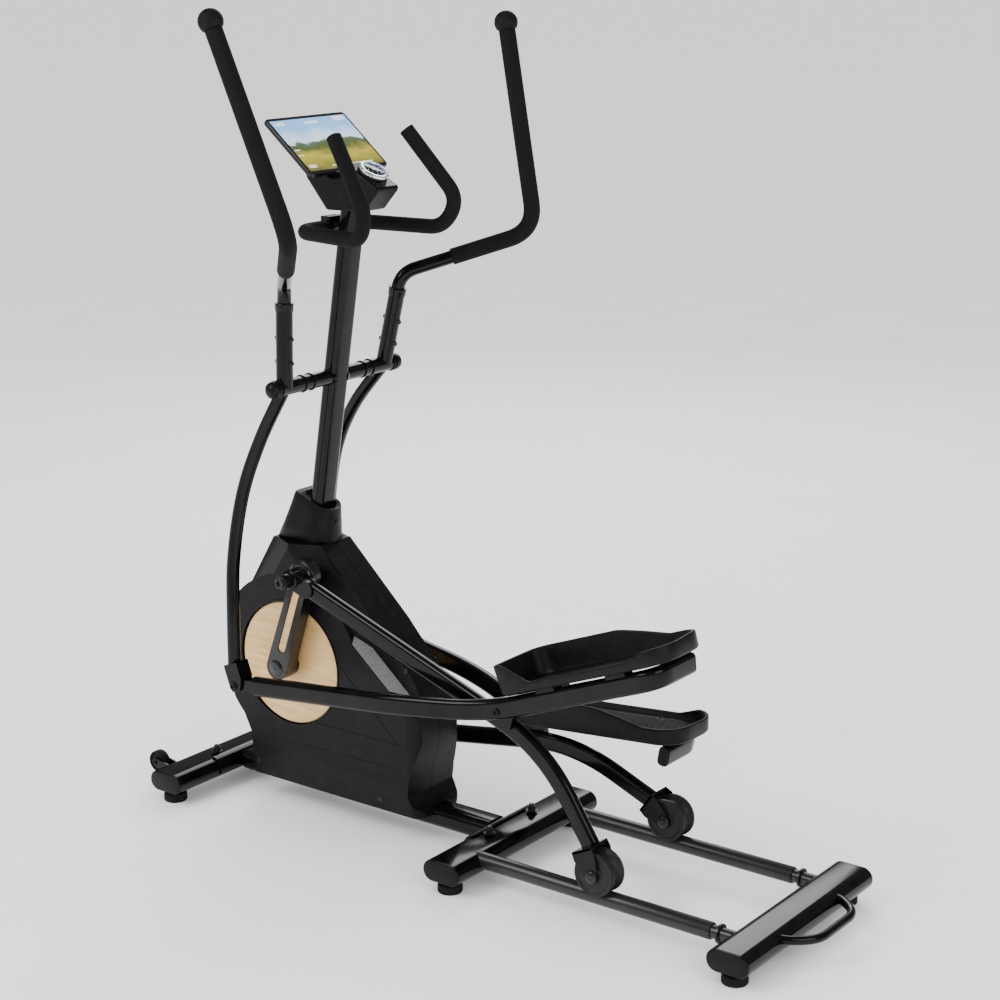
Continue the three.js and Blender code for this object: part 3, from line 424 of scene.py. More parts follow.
WHITE = surface("white_marks", "silver", (0.75, 0.77, 0.8), 0.4, mottle=(0.05, 100), grain=(0.02, 900))
BIRCH = wood()
PICTURE = landscape()


# ---- frame
def foot_tube(place):
    """A flat-oval cross foot with a plastic plug in each end."""
    x = middle("%s_left_foot" % place).x
    half = box(place + "_stabilizer")[1].y
    plug = 5
    section = shifted(rounded(FOOT_WIDTH, FOOT_HEIGHT, FOOT_CORNER, 9), x, TUBE_Z)
    tube = Shape().plate([section], "y", -half + plug, half - plug)
    if place == "front":
        wheel_forks(tube)
    tube.finish(place + "_cross_foot", GLOSS, "frame", place + "_stabilizer", bevel=0.8)
    plugs = Shape()
    for _, sign in SIDES:
        rings = []
        for inset, out in ((0.4, 0), (0.2, 1.2), (0.3, 3), (1.6, 4.4), (4, 5)):
            outline = rounded(FOOT_WIDTH - 2 * inset, FOOT_HEIGHT - 2 * inset, FOOT_CORNER - inset, 9)
            y = sign * (half - plug + out + 0.05)
            rings.append([(x + u, y, TUBE_Z + v) for u, v in outline])
        plugs.loft(rings)
    plugs.finish(place + "_end_plugs", PLASTIC)


def wheel_forks(shape):
    for name, sign in SIDES:
        wheel = pivot(name + "_transport_spin")
        fork = capsule(wheel.x, wheel.z, 9, wheel.x + 48, TUBE_Z + 4, 13)
        for face in (-1, 1):
            y = sign * abs(wheel.y) + face * 12
            shape.plate([fork], "y", y - 1.6, y + 1.6)
            shape.bolt((wheel.x, y + face * 1.6, wheel.z), (0, face, 0), 4.2, 2.6)


def transport_wheels():
    half_profile = [(23, 7), (22, 9), (19, 8.8), (18, 6), (8.5, 6), (8, 8.6), (4.6, 8)]
    profile = [(r, -h) for r, h in reversed(half_profile)] + half_profile
    for name, _ in SIDES:
        body = name + "_transport_wheel"
        tyre = Shape().ring(profile, pivot(name + "_transport_spin"), (0, 1, 0), 40)
        tyre.finish(body + "_tyre", RUBBER, body, body, bevel=0.5)


def levelling_pads():
    """Turned feet with a fluted edge."""
    count, flutes = 120, 30
    pad = ((22.3, 0), (23.6, 1.2), (23.9, 3), (23.9, 14.5), (22.6, 17.6), (20.5, 18.6))
    stem = ((9, 19.2), (8, 20), (8, 24))
    for place in ("front", "middle", "rear"):
        for name, _ in SIDES:
            node = "%s_%s_foot" % (place, name)
            centre = middle(node)
            rings = []
            for radius, height in pad + stem:
                wave = 0.5 if 2 < height < 15 else 0
                ring = []
                for a in (2 * math.pi * i / count for i in range(count)):
                    r = radius + wave * math.cos(flutes * a)
                    ring.append((centre.x + math.cos(a) * r, centre.y + math.sin(a) * r, height))
                rings.append(ring)
            Shape().loft(rings).finish(node + "_pad", RUBBER, node, node, angle=40)


def main_beam():
    """The beam, the plates bent over the front and middle cross feet, and their knob bolts."""
    front = pivot("front_left_foot_turn").x
    rear = pivot("middle_left_foot_turn").x
    beam = Shape().plate([shifted(rounded(64, 43, 17, 7), 0, TUBE_Z)], "x", front + 44, rear - 44)
    beam.finish("main_beam_tube", GLOSS, "frame", "main_beam", bevel=0.8)
    plates = Shape()
    knobs = Shape()
    for x, toward in ((front, 1), (rear, -1)):
        arcs = []
        for gap, way in ((4.3, 1), (0.4, -1)):
            oval = rounded(FOOT_WIDTH + 2 * gap, FOOT_HEIGHT + 2 * gap, FOOT_CORNER + gap, 12)
            arc = [(u, v) for u, v in oval if v > -10 and u * toward > -12]
            arcs += sorted(arc, key=lambda p: way * math.atan2(p[1], p[0] * toward))
        plates.plate([shifted(arcs, x, TUBE_Z)], "y", -100, 100)
        for y in (-70, 70):
            seat = (x + toward * 6, y, TUBE_Z + 25.6)
            knobs.bolt(seat, (0, 0, 1), 8, 8)
            knobs.turned([(5.6, 9), (6, 12), (4.6, 14.5), (0, 15.4)], seat, (0, 0, 1), 24)
    plates.finish("cross_foot_saddles", GLOSS, bevel=0.8)
    knobs.finish("saddle_bolts", BOLT)


def rails():
    """Round rails with a narrower end and a collar at the rear cross foot."""
    tube, end = RAIL_RADIUS, RAIL_END_RADIUS
    for name, sign in SIDES:
        low, high = box(name + "_rail")
        length = high.x - low.x
        start = Vector((low.x, sign * RAIL_Y, (low.z + high.z) / 2))
        profile = [(tube - 0.6, 0), (tube, 0.8), (tube, length - 49), (tube - 1, length - 47)]
        rail = Shape().turned(profile + [(end, length - 46), (end, length)], start, (1, 0, 0), 40)
        collar_place = start + Vector((length - 31, 0, 0))
        rail.ring([(end + 0.1, -2), (18.4, -2), (18.4, 2), (end + 0.1, 2)], collar_place, (1, 0, 0), 32)
        rail.finish(name + "_rail_tube", SATIN, "frame", name + "_rail")


def carry_handle():
    x, z = pivot("rear_left_foot_turn").x, 54
    half = [(30, 104), (44, 104), (90, 68.6)]
    corners = [(x + u, -y, z) for u, y in half] + [(x + u, y, z) for u, y in reversed(half)]
    bar = Shape().sweep(bent(corners, [13, 30, 30, 13]), circle(8.5, 20), up=(0, 0, 1))
    bar.finish("carry_handle_bar", GLOSS, "frame", "carry_handle")


# ---- mast and housing
def mast():
    low, high = box("mast")
    lean = 104.3 / 661.7
    base = Vector((ROCKER.x - (ROCKER.z - low.z) * lean - 2.7, 0, low.z - 22))
    top = base + Vector((lean, 0, 1)) * (high.z - low.z + 18)
    tube = Shape().sweep([base, top], rounded(34, 52, 13.8, 8), up=(0, 1, 0))
    tube.finish("mast_tube", GLOSS, "frame", "mast", bevel=0.8)
    axle = Shape().turned([(14.8, -75.6), (15.5, -74.8), (15.5, 74.8), (14.8, 75.6)], ROCKER, (0, 1, 0))
    axle.turned([(10, -178), (10, 178)], ROCKER, (0, 1, 0))
    for _, sign in SIDES:
        near, far = 17.5 * sign, 24 * sign
        axle.ring([(15.4, near), (19.5, near), (17, far), (15.4, far)], ROCKER, (0, 1, 0))
    axle.finish("rocker_axle_tube", GLOSS, "frame", "rocker_axle")


def housing_side():
    """The housing's side outline."""
    back = quadratic(Vector((299, 22)), Vector((333, -16)), Vector((333, -106)), 8)
    points = [(67, 254), (220, 109)] + [(p.x, p.y) for p in back]
    points += [(322, -150), (311, -188), (308, -222), (318, -240), (334, -252), (338, -264)]
    points += [(-106, -264), (-110, -174)]
    for i in range(31):
        a = math.radians(226 - 89.5 * i / 30)
        points.append((DRUM * math.cos(a), DRUM * math.sin(a)))
    points.append((-60, 254))
    return shifted(points, HUB.x, HUB.z)


def joined(name, parts, operation):
    """A boolean of closed shapes."""
    objects = []
    for i, shape in enumerate(parts):
        bmesh.ops.recalc_face_normals(shape.bm, faces=shape.bm.faces)
        mesh = bpy.data.meshes.new("%s_%d" % (name, i))
        shape.bm.to_mesh(mesh)
        shape.bm.free()
        objects.append(placed(mesh.name, mesh))
    for other in objects[1:]:
        step = objects[0].modifiers.new(other.name, "BOOLEAN")
        step.object = other
        step.operation = operation
        step.solver = "EXACT"
    graph = bpy.context.evaluated_depsgraph_get()
    result = Shape()
    result.bm.from_mesh(objects[0].evaluated_get(graph).to_mesh())
    for item in objects:
        bpy.data.objects.remove(item)
    bmesh.ops.remove_doubles(result.bm, verts=result.bm.verts, dist=0.01)
    flat = math.radians(0.5)
    bmesh.ops.dissolve_limit(result.bm, angle_limit=flat, verts=result.bm.verts, edges=result.bm.edges)
    return result


def sloped_prism(x, z, slope, deep, crown, start, end):
    """A long prism with chamfered upper edges, tipped down along a slope through (x, z)."""
    place = Matrix.Translation((x, 0, z)) @ Matrix.Rotation(math.radians(slope), 4, "Y")
    wide, down = HALF + 1, 600
    section = [(-wide, -down), (wide, -down), (wide, -deep), (crown, 0), (-crown, 0), (-wide, -deep)]
    return Shape(place).plate([section], "x", start, end)


BEVEL_X, BEVEL_Z, BEVEL_SLOPE, BEVEL_DEEP = HUB.x + 204, 378, 40, 13


def housing_body():
    """Side faces that run in to a narrow crown, a proud drum, a low bevel and a rounded spine behind."""
    fore, aft, over = HUB.x - 260, HUB.x + 380, 700
    side = Shape().plate([housing_side()], "y", -HALF - 5, HALF + 5)
    flare_side = [(70, HOUSING_LOW - 1), (HALF, 130), (HALF, 600)]
    flare = [(-70, HOUSING_LOW - 1)] + flare_side + [(-HALF, 600), (-HALF, 130)]
    front = Shape().plate([flare], "x", fore, aft)
    plan = Shape().plate([shifted(rounded(524, 2 * HALF + 1, 38, 8), HUB.x + 76, 0)], "z", 0, over)
    near = [(-260, -HALF - 1), (130, -HALF - 1), (213, -42)]
    shoulder = near + [(x, -y) for x, y in reversed(near)]
    cheeks = joined("cheeks", [
        Shape().plate([shifted(shoulder, HUB.x, 0)], "z", HOUSING_LOW, over),
        sloped_prism(HUB.x + 67, HOUSING_TOP + 4, 44.8, 57, 42, -300, 300),
        sloped_prism(HUB.x - 54, HOUSING_TOP + 4, -56.5, 57, 42, -300, 300),
    ], "INTERSECT")
    bevel = sloped_prism(BEVEL_X, BEVEL_Z, BEVEL_SLOPE, BEVEL_DEEP, SPINE, -88, 400)
    spine = Shape().plate([rounded(2 * SPINE, 2 * over, 30, 12)], "x", fore, aft)
    block = Shape().block((fore, -HALF, 0), (aft, HALF, 235))
    drum = Shape().turned([(DRUM, -HALF), (DRUM, HALF)], HUB, (0, 1, 0), 120)
    upright = joined("upright", [cheeks, bevel, spine, block, drum], "UNION")
    return joined("body", [side, front, plan, upright], "INTERSECT")


def housing():
    """Two moulded halves that meet at the middle, each with a recess for its disc."""
    for name, sign in SIDES:
        near, far = sorted((0.5 * sign, 120 * sign))
        half = Shape().block((HUB.x - 400, near, 0), (HUB.x + 500, far, 700))
        inner, outer = sorted((58 * sign, 140 * sign))
        recess = Shape().turned([(131, inner), (131, outer)], HUB, (0, 1, 0), 96)
        shell = joined("half", [joined("halved", [housing_body(), half], "INTERSECT"), recess], "DIFFERENCE")
        piece = shell.finish(name + "_housing_shell", HOUSING, "frame", name + "_housing", angle=24)
        soften(piece, 5, 4)
        housing_details(name, sign)


def housing_details(name, sign):
    """The rim round the disc, the grey trim on the bevel, the screws and the moulded crease lines."""
    rim = [(129.6, 0), (134, 0), (134, 1.8), (130.8, 1.8), (129.6, 1)]
    trim = Shape().ring(rim, HUB + Vector((0, sign * (HALF - 0.4), 0)), (0, sign, 0), 96)
    trim.finish(name + "_disc_rim", PLASTIC, bevel=0.4)

    slope = Matrix.Translation((BEVEL_X, 0, BEVEL_Z)) @ Matrix.Rotation(math.radians(BEVEL_SLOPE), 4, "Y")
    drop = BEVEL_DEEP / (HALF + 1 - SPINE)
    outer, inner = HALF - 0.6, SPINE + 1
    corners = [(-82, outer), (90, outer), (122, inner), (-18, inner)]
    layers = [[(along, sign * y, (SPINE - y) * drop + lift) for along, y in corners] for lift in (0.1, 1.4)]
    Shape(slope).loft(layers).finish(name + "_bevel_trim", ACCENT, bevel=0.5)

    screws = Shape()
    head = [(5.2, -1), (5.2, 0.6), (4, 1), (2, 1), (1.8, 0.2)]
    for x, y, z in ((284, SPINE, 349), (-96, 71.8, 82), (236, 71.6, 74)):
        screws.turned(head, (HUB.x + x, sign * y, z), (0, sign, 0), 20)
    screws.finish(name + "_housing_screws", BOLT)

    creases = Shape()
    for line in ([(59, -114), (288, -114)], [(-4, -172), (293, -165)], [(128, 30), (284, -112)]):
        path = [(HUB.x + x, sign * (HALF + 0.15), HUB.z + z) for x, z in line]
        creases.sweep(path, rounded(1.2, 1.2, 0.5, 2), up=(0, 1, 0))
    creases.finish(name + "_housing_creases", PLASTIC, slot="housing")


def hood_section(front, rear, half, steps=16):
    """A plan outline with a square front and a half-round rear."""
    reach = half * 0.85
    corner = [(front, half * 0.62), (front + half * 0.09, half * 0.87), (front + half * 0.38, half)]
    points = [corner[0]] + [(x, -y) for x, y in corner]
    for i in range(steps + 1):
        a = math.radians(-90 + 180 * i / steps)
        points.append((rear - reach + reach * math.cos(a), half * math.sin(a)))
    return points + [corner[2], corner[1]]


def collar():
    """The hooded collar round the foot of the mast, with a rim that slopes down to the rear."""
    low, high = box("mast_cover")
    edge_inset = {0: 0.6, 0.97: 0.6, 1: 2.2}
    rings = []
    for share in (0, 0.012, 0.25, 0.5, 0.75, 0.93, 0.97, 1):
        inset = 12.32 * share + edge_inset.get(share, 0)
        rear = low.x + 115 + 10 * share - inset * 0.55
        section = hood_section(low.x + inset * 2.4, rear, 43 - inset * 0.95)
        ring = []
        for x, y in section:
            rim = high.z - 34 * unit((x - low.x - 36) / 88) ** 1.1
            forward = 15 * (1 - share) * max(0, 1 - (x - low.x) / 60)
            ring.append((x - forward, y, low.z + (rim - low.z) * min(share * 1.03, 1)))
        rings.append(ring)
    rim = rings[-1]
    for pull, narrow, drop in ((0.28, 0.8, 0.4), (0.34, 0.74, 9)):
        inner = []
        for x, y, z in rim:
            mast_x = low.x + 84 + (z - high.z) * 0.12
            inner.append((x + (mast_x - x) * pull, y * narrow, z - drop))
        rings.append(inner)
    Shape().loft(rings).finish("mast_collar", HOUSING, "frame", "mast_cover", angle=50)
    head = [(4.6, 0), (4.6, 1), (3.6, 1.4), (2, 1.4), (1.8, 0.4)]
    screw = Shape().turned(head, (high.x - 2, 0, high.z - 58), (1, 0, 0.1), 20)
    screw.finish("mast_collar_screw", BOLT)


# ---- crank set
def crank_pin(sign):
    turn = CRANK_PHASE + (math.pi if sign > 0 else 0)
    return HUB + Vector((math.cos(turn), 0, math.sin(turn))) * CRANK_THROW


def cranks():
    """Each crank has an arm with a birch inlay, bosses at its ends and a birch-faced disc behind it."""
    for name, sign in SIDES:
        pin = crank_pin(sign)
        hub = (HUB.x, 0, HUB.z)
        face = Vector((0, sign, 0))
        low, high = HUB.lerp(pin, 0.22), HUB.lerp(pin, 0.82)
        slot = capsule(low.x, low.z, 9.5, high.x, high.z, 9)
        wood_slot = capsule(low.x, low.z, 9.2, high.x, high.z, 8.7)
        outline = capsule(HUB.x, HUB.z, 26, pin.x, pin.z, 22)
        arm = Shape().plate([outline, slot], "y", *sorted((sign * 84, sign * 114)))
        arm.finish(name + "_crank_arm", CRANK_BLACK, "crankset", name + "_crank", bevel=2.4)
        inlay = Shape().plate([wood_slot], "y", *sorted((sign * 88, sign * 111.5)))
        inlay.finish(name + "_crank_inlay", BIRCH, "crankset", bevel=0.6)
        pin_boss = [(31, 86), (32.5, 88), (32.5, 108), (31.5, 110), (27, 112), (25, 116), (13, 117)]
        hub_cap = [(18.5, 112), (18.5, 113.2), (17.2, 113.4), (17.2, 114.6), (16, 115.4), (3, 115.8)]
        hub_cap += [(2.6, 115), (0, 115)]
        boss = Shape().turned(pin_boss, (pin.x, 0, pin.z), face, 56)
        boss.turned([(24, 60), (24, 86), (20, 88)], hub, face, 48)
        boss.turned(hub_cap, hub, face, 48)
        boss.finish(name + "_crank_bosses", CRANK_BLACK, "crankset", bevel=0.5)
        disc = [(124, 60), (128.3, 60.4), (128.5, 61.5), (128.5, 69.6), (127, 71), (26, 71), (25, 70.6)]
        Shape().turned(disc, hub, face, 128).finish(name + "_birch_disc", BIRCH, "crankset", name + "_disc")


# ---- swinging arms
ARM_BOW = ((0, 0), (-46, -120), (-68, -237), (-61, -370), (-36, -488), (-17, -585))
ELBOW, HANDLE_OUT, HANDLE_TOP = (-23, 150, 195), (137, 331, 343), (-81.5, 340, 694.5)
CLEVIS_TILT = 28.6
CLEVIS = ((-12, 45), (-12, 0), (-9, -10), (0, -14), (12, -12), (19, -2), (25, 12), (25, 45))


def arm_lean(name):
    reach = ROCKER - pivot(name + "_bar_pivot")
    return math.degrees(math.atan2(reach.x, reach.z))


def swing_arms():
    for name, sign in SIDES:
        place = pivot_frame(ROCKER, -arm_lean(name))
        arm = Shape(place)
        bow = []
        for x, z in ARM_BOW:
            t = unit(-z / ARM_LENGTH)
            bow.append((x, sign * (ARM_Y + (ARM_LOW_Y - ARM_Y) * t * t * (3 - 2 * t)), z))
        arm.sweep(smooth_path(bow), circle(ARM_TUBE, 28), up=(0, 1, 0))
        foot = Vector((0, sign * ARM_Y, 0))
        along = (Vector(ELBOW) * Vector((1, sign, 1)) - foot).normalized()
        arm.sweep([foot, foot + along * 166], circle(16.5), up=(0, 1, 0))
        arm.turned([(17.6, 150), (18.2, 151), (18.2, 165), (17.2, 166.5)], foot, along)
        arm.turned([(15.5, 76), (15.5, 178)], (0, 0, 0), (0, sign, 0))
        for y in (76, 100, 166, 174):
            band = [(17.2, y), (17.8, y + 0.6), (17.8, y + 3.2), (17.2, y + 3.8)]
            arm.turned(band, (0, 0, 0), (0, sign, 0))
        tilt = Matrix.Rotation(-math.radians(CLEVIS_TILT), 4, "Y")
        clevis(arm.at(place @ Matrix.Translation((0, 0, -ARM_LENGTH)) @ tilt), sign)
        arm.finish(name + "_swing_arm_tube", GLOSS, name + "_arm", name + "_swing_arm", bevel=0.7)
        arm_bolts(name, place, foot, along)
        handle(name, sign, place, foot + along * 120)


def clevis(shape, sign):
    """Two cheeks with a web behind and above, round the front end of the pedal bar."""
    (front, top), (rear, web_foot) = CLEVIS[0], CLEVIS[6]
    for face in (-1, 1):
        y = sign * ARM_LOW_Y + face * 15
        shape.plate([list(CLEVIS)], "y", y - 2, y + 2)
        shape.bolt((0, y + face * 2, 0), (0, face, 0), 7.5, 4)
    inner, outer = sign * ARM_LOW_Y - 15, sign * ARM_LOW_Y + 15
    shape.block((rear - 4, inner, web_foot), (rear, outer, top))
    shape.block((front, inner, top - 4), (rear, outer, top))


def arm_bolts(name, place, foot, along):
    bolts = Shape(place)
    across = along.cross(Vector((0, 1, 0))).normalized()
    for height in (50, 97):
        centre = foot + along * height
        for way in (-1, 1):
            bolts.bolt(centre + across * (16 * way), across * way, 4.6, 4.5)
        bolts.turned([(4, -20), (4, 20)], centre, across, 20)
    bolts.finish(name + "_arm_bolts", BOLT, name + "_arm")


def handle(name, sign, place, start):
    """The upper handle with its foam, its ball end and the dome over the arm's pivot."""
    body = name + "_arm"
    elbow, out, top = (Vector(p) * Vector((1, sign, 1)) for p in (ELBOW, HANDLE_OUT, HANDLE_TOP))
    path = bent([start, elbow, out, top], [32, 56], 14)
    tube = Shape(place).sweep(path, circle(HANDLE_TUBE, 28), up=(0, 1, 0))
    tube.finish(name + "_handle_tube", GLOSS, body, name + "_handlebar")
    foam_path = bent([elbow.lerp(out, 0.38), out, top], [56], 14)
    lead = foam_path[0] + (foam_path[1] - foam_path[0]).normalized() * 3
    foam_path.insert(1, lead)
    piece = Shape(place).sweep(foam_path, circle(GRIP_RADIUS), up=(0, 1, 0)).finish(
        name + "_grip_foam", FOAM, body, name + "_grip", bevel=1.2)
    profile = [(17, -14), (20, -13), (22.4, -7)]
    for degrees in range(-15, 91, 7):
        a = math.radians(degrees)
        profile.append((BALL_RADIUS * math.cos(a), BALL_RADIUS * math.sin(a)))
    cap = Shape(place).turned(profile, top, (top - out).normalized(), 48)
    cap.finish(name + "_ball_end", RUBBER, body, name + "_ball_cap")
    dome = [(16.4, 178.4), (17, 179), (17, 184), (15.6, 189), (12, 193), (7, 195.6), (0, 196.6)]
    cover = Shape(place).turned(dome, (0, 0, 0), (0, sign, 0))
    cover.finish(name + "_axle_dome", PLASTIC, body, name + "_axle_cap")


# ---- pedal bars
BAR_JOG, BAR_BEND, BAR_REAR = (410, 1), (590, -6), (970, 96)
TRAY_FROM, TRAY_TO, TRAY_IN, TRAY_OUT = 47, 437, 30, 182
TRAY_LENGTH, TRAY_WIDTH = TRAY_TO - TRAY_FROM, TRAY_OUT - TRAY_IN


def rod_frame(name, sign):
    """The rod's frame: its origin at the crank pin and its X axis through the roller."""
    pin, end = crank_pin(sign), pivot(name + "_roller_spin")
    return pivot_frame(pin, math.degrees(math.atan2(end.z - pin.z, end.x - pin.x)))


def pedal_pivot(name, sign):
    return rod_frame(name, sign) @ PEDAL_PIVOT_ON_ROD


def bar_frame(name, sign):
    """The pedal bar's frame: its origin at the arm and its X axis through the rod's pivot."""
    start, end = pivot(name + "_bar_pivot"), pedal_pivot(name, sign)
    return pivot_frame(start, math.degrees(math.atan2(end.z - start.z, end.x - start.x)))


def pedal_bars():
    for name, sign in SIDES:
        body = name + "_bar"
        place = bar_frame(name, sign)
        stations = (((44, 0), BAR_FRONT_Y), (BAR_JOG, BAR_FRONT_Y), (BAR_BEND, BAR_REAR_Y),
                    (BAR_REAR, BAR_REAR_Y), (BAR_REAR, BAR_END_Y))
        path = bent([(x, sign * y, z) for (x, z), y in stations], [80, 80, 40], 12)
        bar = Shape(place).sweep(path, rounded(24, 40, 10), up=(0, 0, 1))
        bar.plate([capsule(0, 0, 11.5, 58, 0, 14)], "y", sign * BAR_FRONT_Y - 11, sign * BAR_FRONT_Y + 11)
        bar.finish(name + "_pedal_bar_tube", GLOSS, body, name + "_pedal_bar", bevel=0.8, angle=40)
        hardware = Shape(place)
        reach = (pedal_pivot(name, sign) - pivot(name + "_bar_pivot")).length
        hardware.bolt((reach, sign * (BAR_REAR_Y + 12), 0), (0, sign, 0), 7.5, 4.5)
        plug = shifted(rounded(22, 38, 9, 5), *BAR_REAR)
        hardware.plate([plug], "y", *sorted((sign * (BAR_END_Y - 3), sign * BAR_END_Y)))
        hardware.finish(name + "_bar_hardware", PLASTIC, body, bevel=0.6)
        footplate(name, sign, place, body)


def tray_outline():
    """The tray's plan about its middle, rounder at the heel than at the toe, with points along its sides."""
    points = []
    for k, (sx, sy, r) in enumerate(((1, 1, 52), (-1, 1, 26), (-1, -1, 26), (1, -1, 52))):
        cx, cy = sx * (TRAY_LENGTH / 2 - r), sy * (TRAY_WIDTH / 2 - r)
        for i in range(11):
            a = math.pi / 2 * (k + i / 10)
            points.append((cx + r * math.cos(a), cy + r * math.sin(a)))
    fine = []
    for (x1, y1), (x2, y2) in zip(points, points[1:] + points[:1]):
        count = max(1, int(math.hypot(x2 - x1, y2 - y1) / 12))
        fine += [(x1 + (x2 - x1) * i / count, y1 + (y2 - y1) * i / count) for i in range(count)]
    return fine


def wall_height(x, y_out):
    """How high the tray's wall stands: high at the toe and inside, low along the outer sill."""
    along = x / TRAY_LENGTH + 0.5
    inner = 59 - 26 * unit((along - 0.5) / 0.3) ** 1.2
    outer = 59 - 41 * unit((along - 0.06) / 0.14) + 13 * unit((along - 0.78) / 0.12)
    share = unit(y_out / 40 + 0.5)
    share = share * share * (3 - 2 * share)
    return inner * (1 - share) + outer * share


def tray_ring(sign, inset, floor, share=0.0, drop=0.0):
    """The outline drawn in by an inset, at a height of floor plus a share of the wall less a drop."""
    kx, ky = 1 - 2 * inset / TRAY_LENGTH, 1 - 2 * inset / TRAY_WIDTH
    return [(x * kx, sign * y * ky, floor + share * (wall_height(x, y) - drop)) for x, y in tray_outline()]


def footplate(name, sign, place, body):
    slope = math.degrees(math.atan2(BAR_REAR[1] - BAR_BEND[1], BAR_REAR[0] - BAR_BEND[0]))
    centre = Vector(((TRAY_FROM + TRAY_TO) / 2, sign * (TRAY_IN + TRAY_OUT) / 2, 24.3))
    tray_place = place @ pivot_frame((BAR_BEND[0], 0, BAR_BEND[1]), slope) @ Matrix.Translation(centre)
    outside = [tray_ring(sign, 9, 0), tray_ring(sign, 4, 1.2), tray_ring(sign, 1.4, 5)]
    outside.append(tray_ring(sign, 0.6, 0, 0.6))
    rim = [tray_ring(sign, inset, 0, 1, drop) for inset, drop in
           ((0, 3.2), (0.4, 1), (1.8, 0), (4.4, 0), (5.8, 1.2), (6.6, 4))]
    inside = [tray_ring(sign, 9, 9, 0.12, 12), tray_ring(sign, 12, 7.6), tray_ring(sign, 16, 7)]
    tray = Shape(tray_place).loft(outside + rim + inside)
    tray.finish(name + "_footplate_tray", TREAD, body, name + "_footplate", angle=50)
    ribs = Shape(tray_place)
    rib_section = [(-1.5, -0.6), (1.5, -0.6), (1.1, 1.1), (-1.1, 1.1)]
    for i in range(-9, 10):
        y = i * 6.2
        reach = 166 - 0.006 * y * y
        bow = 5 * (1 if y < 0 else -1) * abs(i) / 9
        shares = [k / 24 for k in range(25)]
        path = [(reach * (2 * t - 1), y + bow * math.sin(math.pi * t), 7.4) for t in shares]
        ribs.sweep(path, rib_section, up=(0, 0, 1))
    ribs.finish(name + "_footplate_ribs", TREAD, body)
    mounting = Shape(tray_place)
    y = sign * (BAR_REAR_Y - (TRAY_IN + TRAY_OUT) / 2)
    for x in (-88, 75):
        mounting.block((x - 22, y - 13, -8), (x + 22, y + 13, 2))
        mounting.bolt((x, y, 7), (0, 0, 1), 6, 1.6)
    mounting.finish(name + "_footplate_mounting", PLASTIC, body, bevel=1)


# ---- rods and rollers
ROD_KNEE, FORK_TOP = (640, 108), (818, 28)


def rods():
    for name, sign in SIDES:
        body = name + "_rod"
        place = rod_frame(name, sign)
        length = (pivot(name + "_roller_spin") - crank_pin(sign)).length
        stations = (((20, 3.4), ROD_Y), (ROD_KNEE, ROD_Y), (FORK_TOP, ROD_Y + 13))
        path = bent([(x, sign * y, z) for (x, z), y in stations], [105], 16)
        rod = Shape(place).sweep(path, rounded(22, 37, 9.5), up=(0, 0, 1))
        sleeve = [(19, 114), (20, 115), (20, 146), (18.6, 147.4), (15, 148), (15, 168), (14, 169.6)]
        rod.turned(sleeve, (0, 0, 0), (0, sign, 0))
        rod.plate([capsule(0, 0, 18.5, 40, 7, 18)], "y", *sorted((sign * 118, sign * 144)))
        ear = [(-30, -30), (30, -30), (20, 12), (12, 16), (-9, 16), (-16, 12)]
        ear = shifted(ear, PEDAL_PIVOT_ON_ROD.x, PEDAL_PIVOT_ON_ROD.z)
        rod.plate([ear], "y", *sorted((sign * 131, sign * 147.4)))
        fork(rod, sign, place, length)
        rod.finish(name + "_rod_tube", GLOSS, body, name + "_rod", bevel=0.8, angle=40)
        roller_axle(name, sign, place, length)
        washer = [(13.4, 169.6), (13.4, 171), (11, 171.4)]
        head = [(11, 176), (9.8, 177.4), (5.6, 177.4), (5.2, 173)]
        pin_bolt = Shape(place).turned(washer + head, (0, 0, 0), (0, sign, 0), 36)
        pin_bolt.finish(name + "_crank_pin_bolt", BOLT, body, bevel=0.4)
        roller(name, sign, place, length)


def fork(rod, sign, place, length):
    """Two cheeks either side of the roller, along the line from the rod's end to the roller's axle."""
    run, fall = length - FORK_TOP[0], FORK_TOP[1]
    reach = math.hypot(run, fall)
    tilt = -math.degrees(math.atan2(fall, run))
    rod.at(place @ pivot_frame((FORK_TOP[0], sign * RAIL_Y, FORK_TOP[1]), tilt))
    lower = [(-2, -23), (14, -25), (reach + 4, -14), (reach + 12, -8)]
    cheek = lower + [(reach + 14, 0)] + [(x, -z) for x, z in reversed(lower)]
    for face in (-1, 1):
        rod.plate([cheek], "y", *sorted((face * 24, face * 27.5)))
    rod.block((-2, -27.5, -23), (3, 27.5, 23))


def roller_axle(name, sign, place, length):
    centre = (length, sign * RAIL_Y, 0)
    head = [(12.6, 27.6), (12.6, 29.4), (11.6, 31), (9, 32.6), (5, 33.8), (4.6, 33), (0, 32.6)]
    axle = Shape(place)
    for face in (-1, 1):
        axle.turned(head, centre, (0, face, 0), 28)
    axle.turned([(8, -27), (8, 27)], centre, (0, 1, 0), 28)
    axle.finish(name + "_roller_axle_bolt", BOLT, name + "_rod", name + "_roller_axle")


def roller(name, sign, place, length):
    """A grooved wheel that runs on the round rail."""
    bottom, groove = 31.2, 17.4
    flank = [(9.2, -21), (15, -21.6), (16, -20), (33, -20), (35, -21.8), (38.6, -22.5), (41, -21.8)]
    flank += [(42, -20), (42, -16)]
    profile = flank[:]
    for h in range(-14, 15, 2):
        profile.append((bottom + groove - math.sqrt(groove ** 2 - h * h), h))
    profile += [(r, -h) for r, h in reversed(flank)]
    wheel = Shape(place).ring(profile, (length, sign * RAIL_Y, 0), (0, 1, 0), 72)
    wheel.finish(name + "_roller_wheel", URETHANE, name + "_roller", name + "_roller", angle=40)


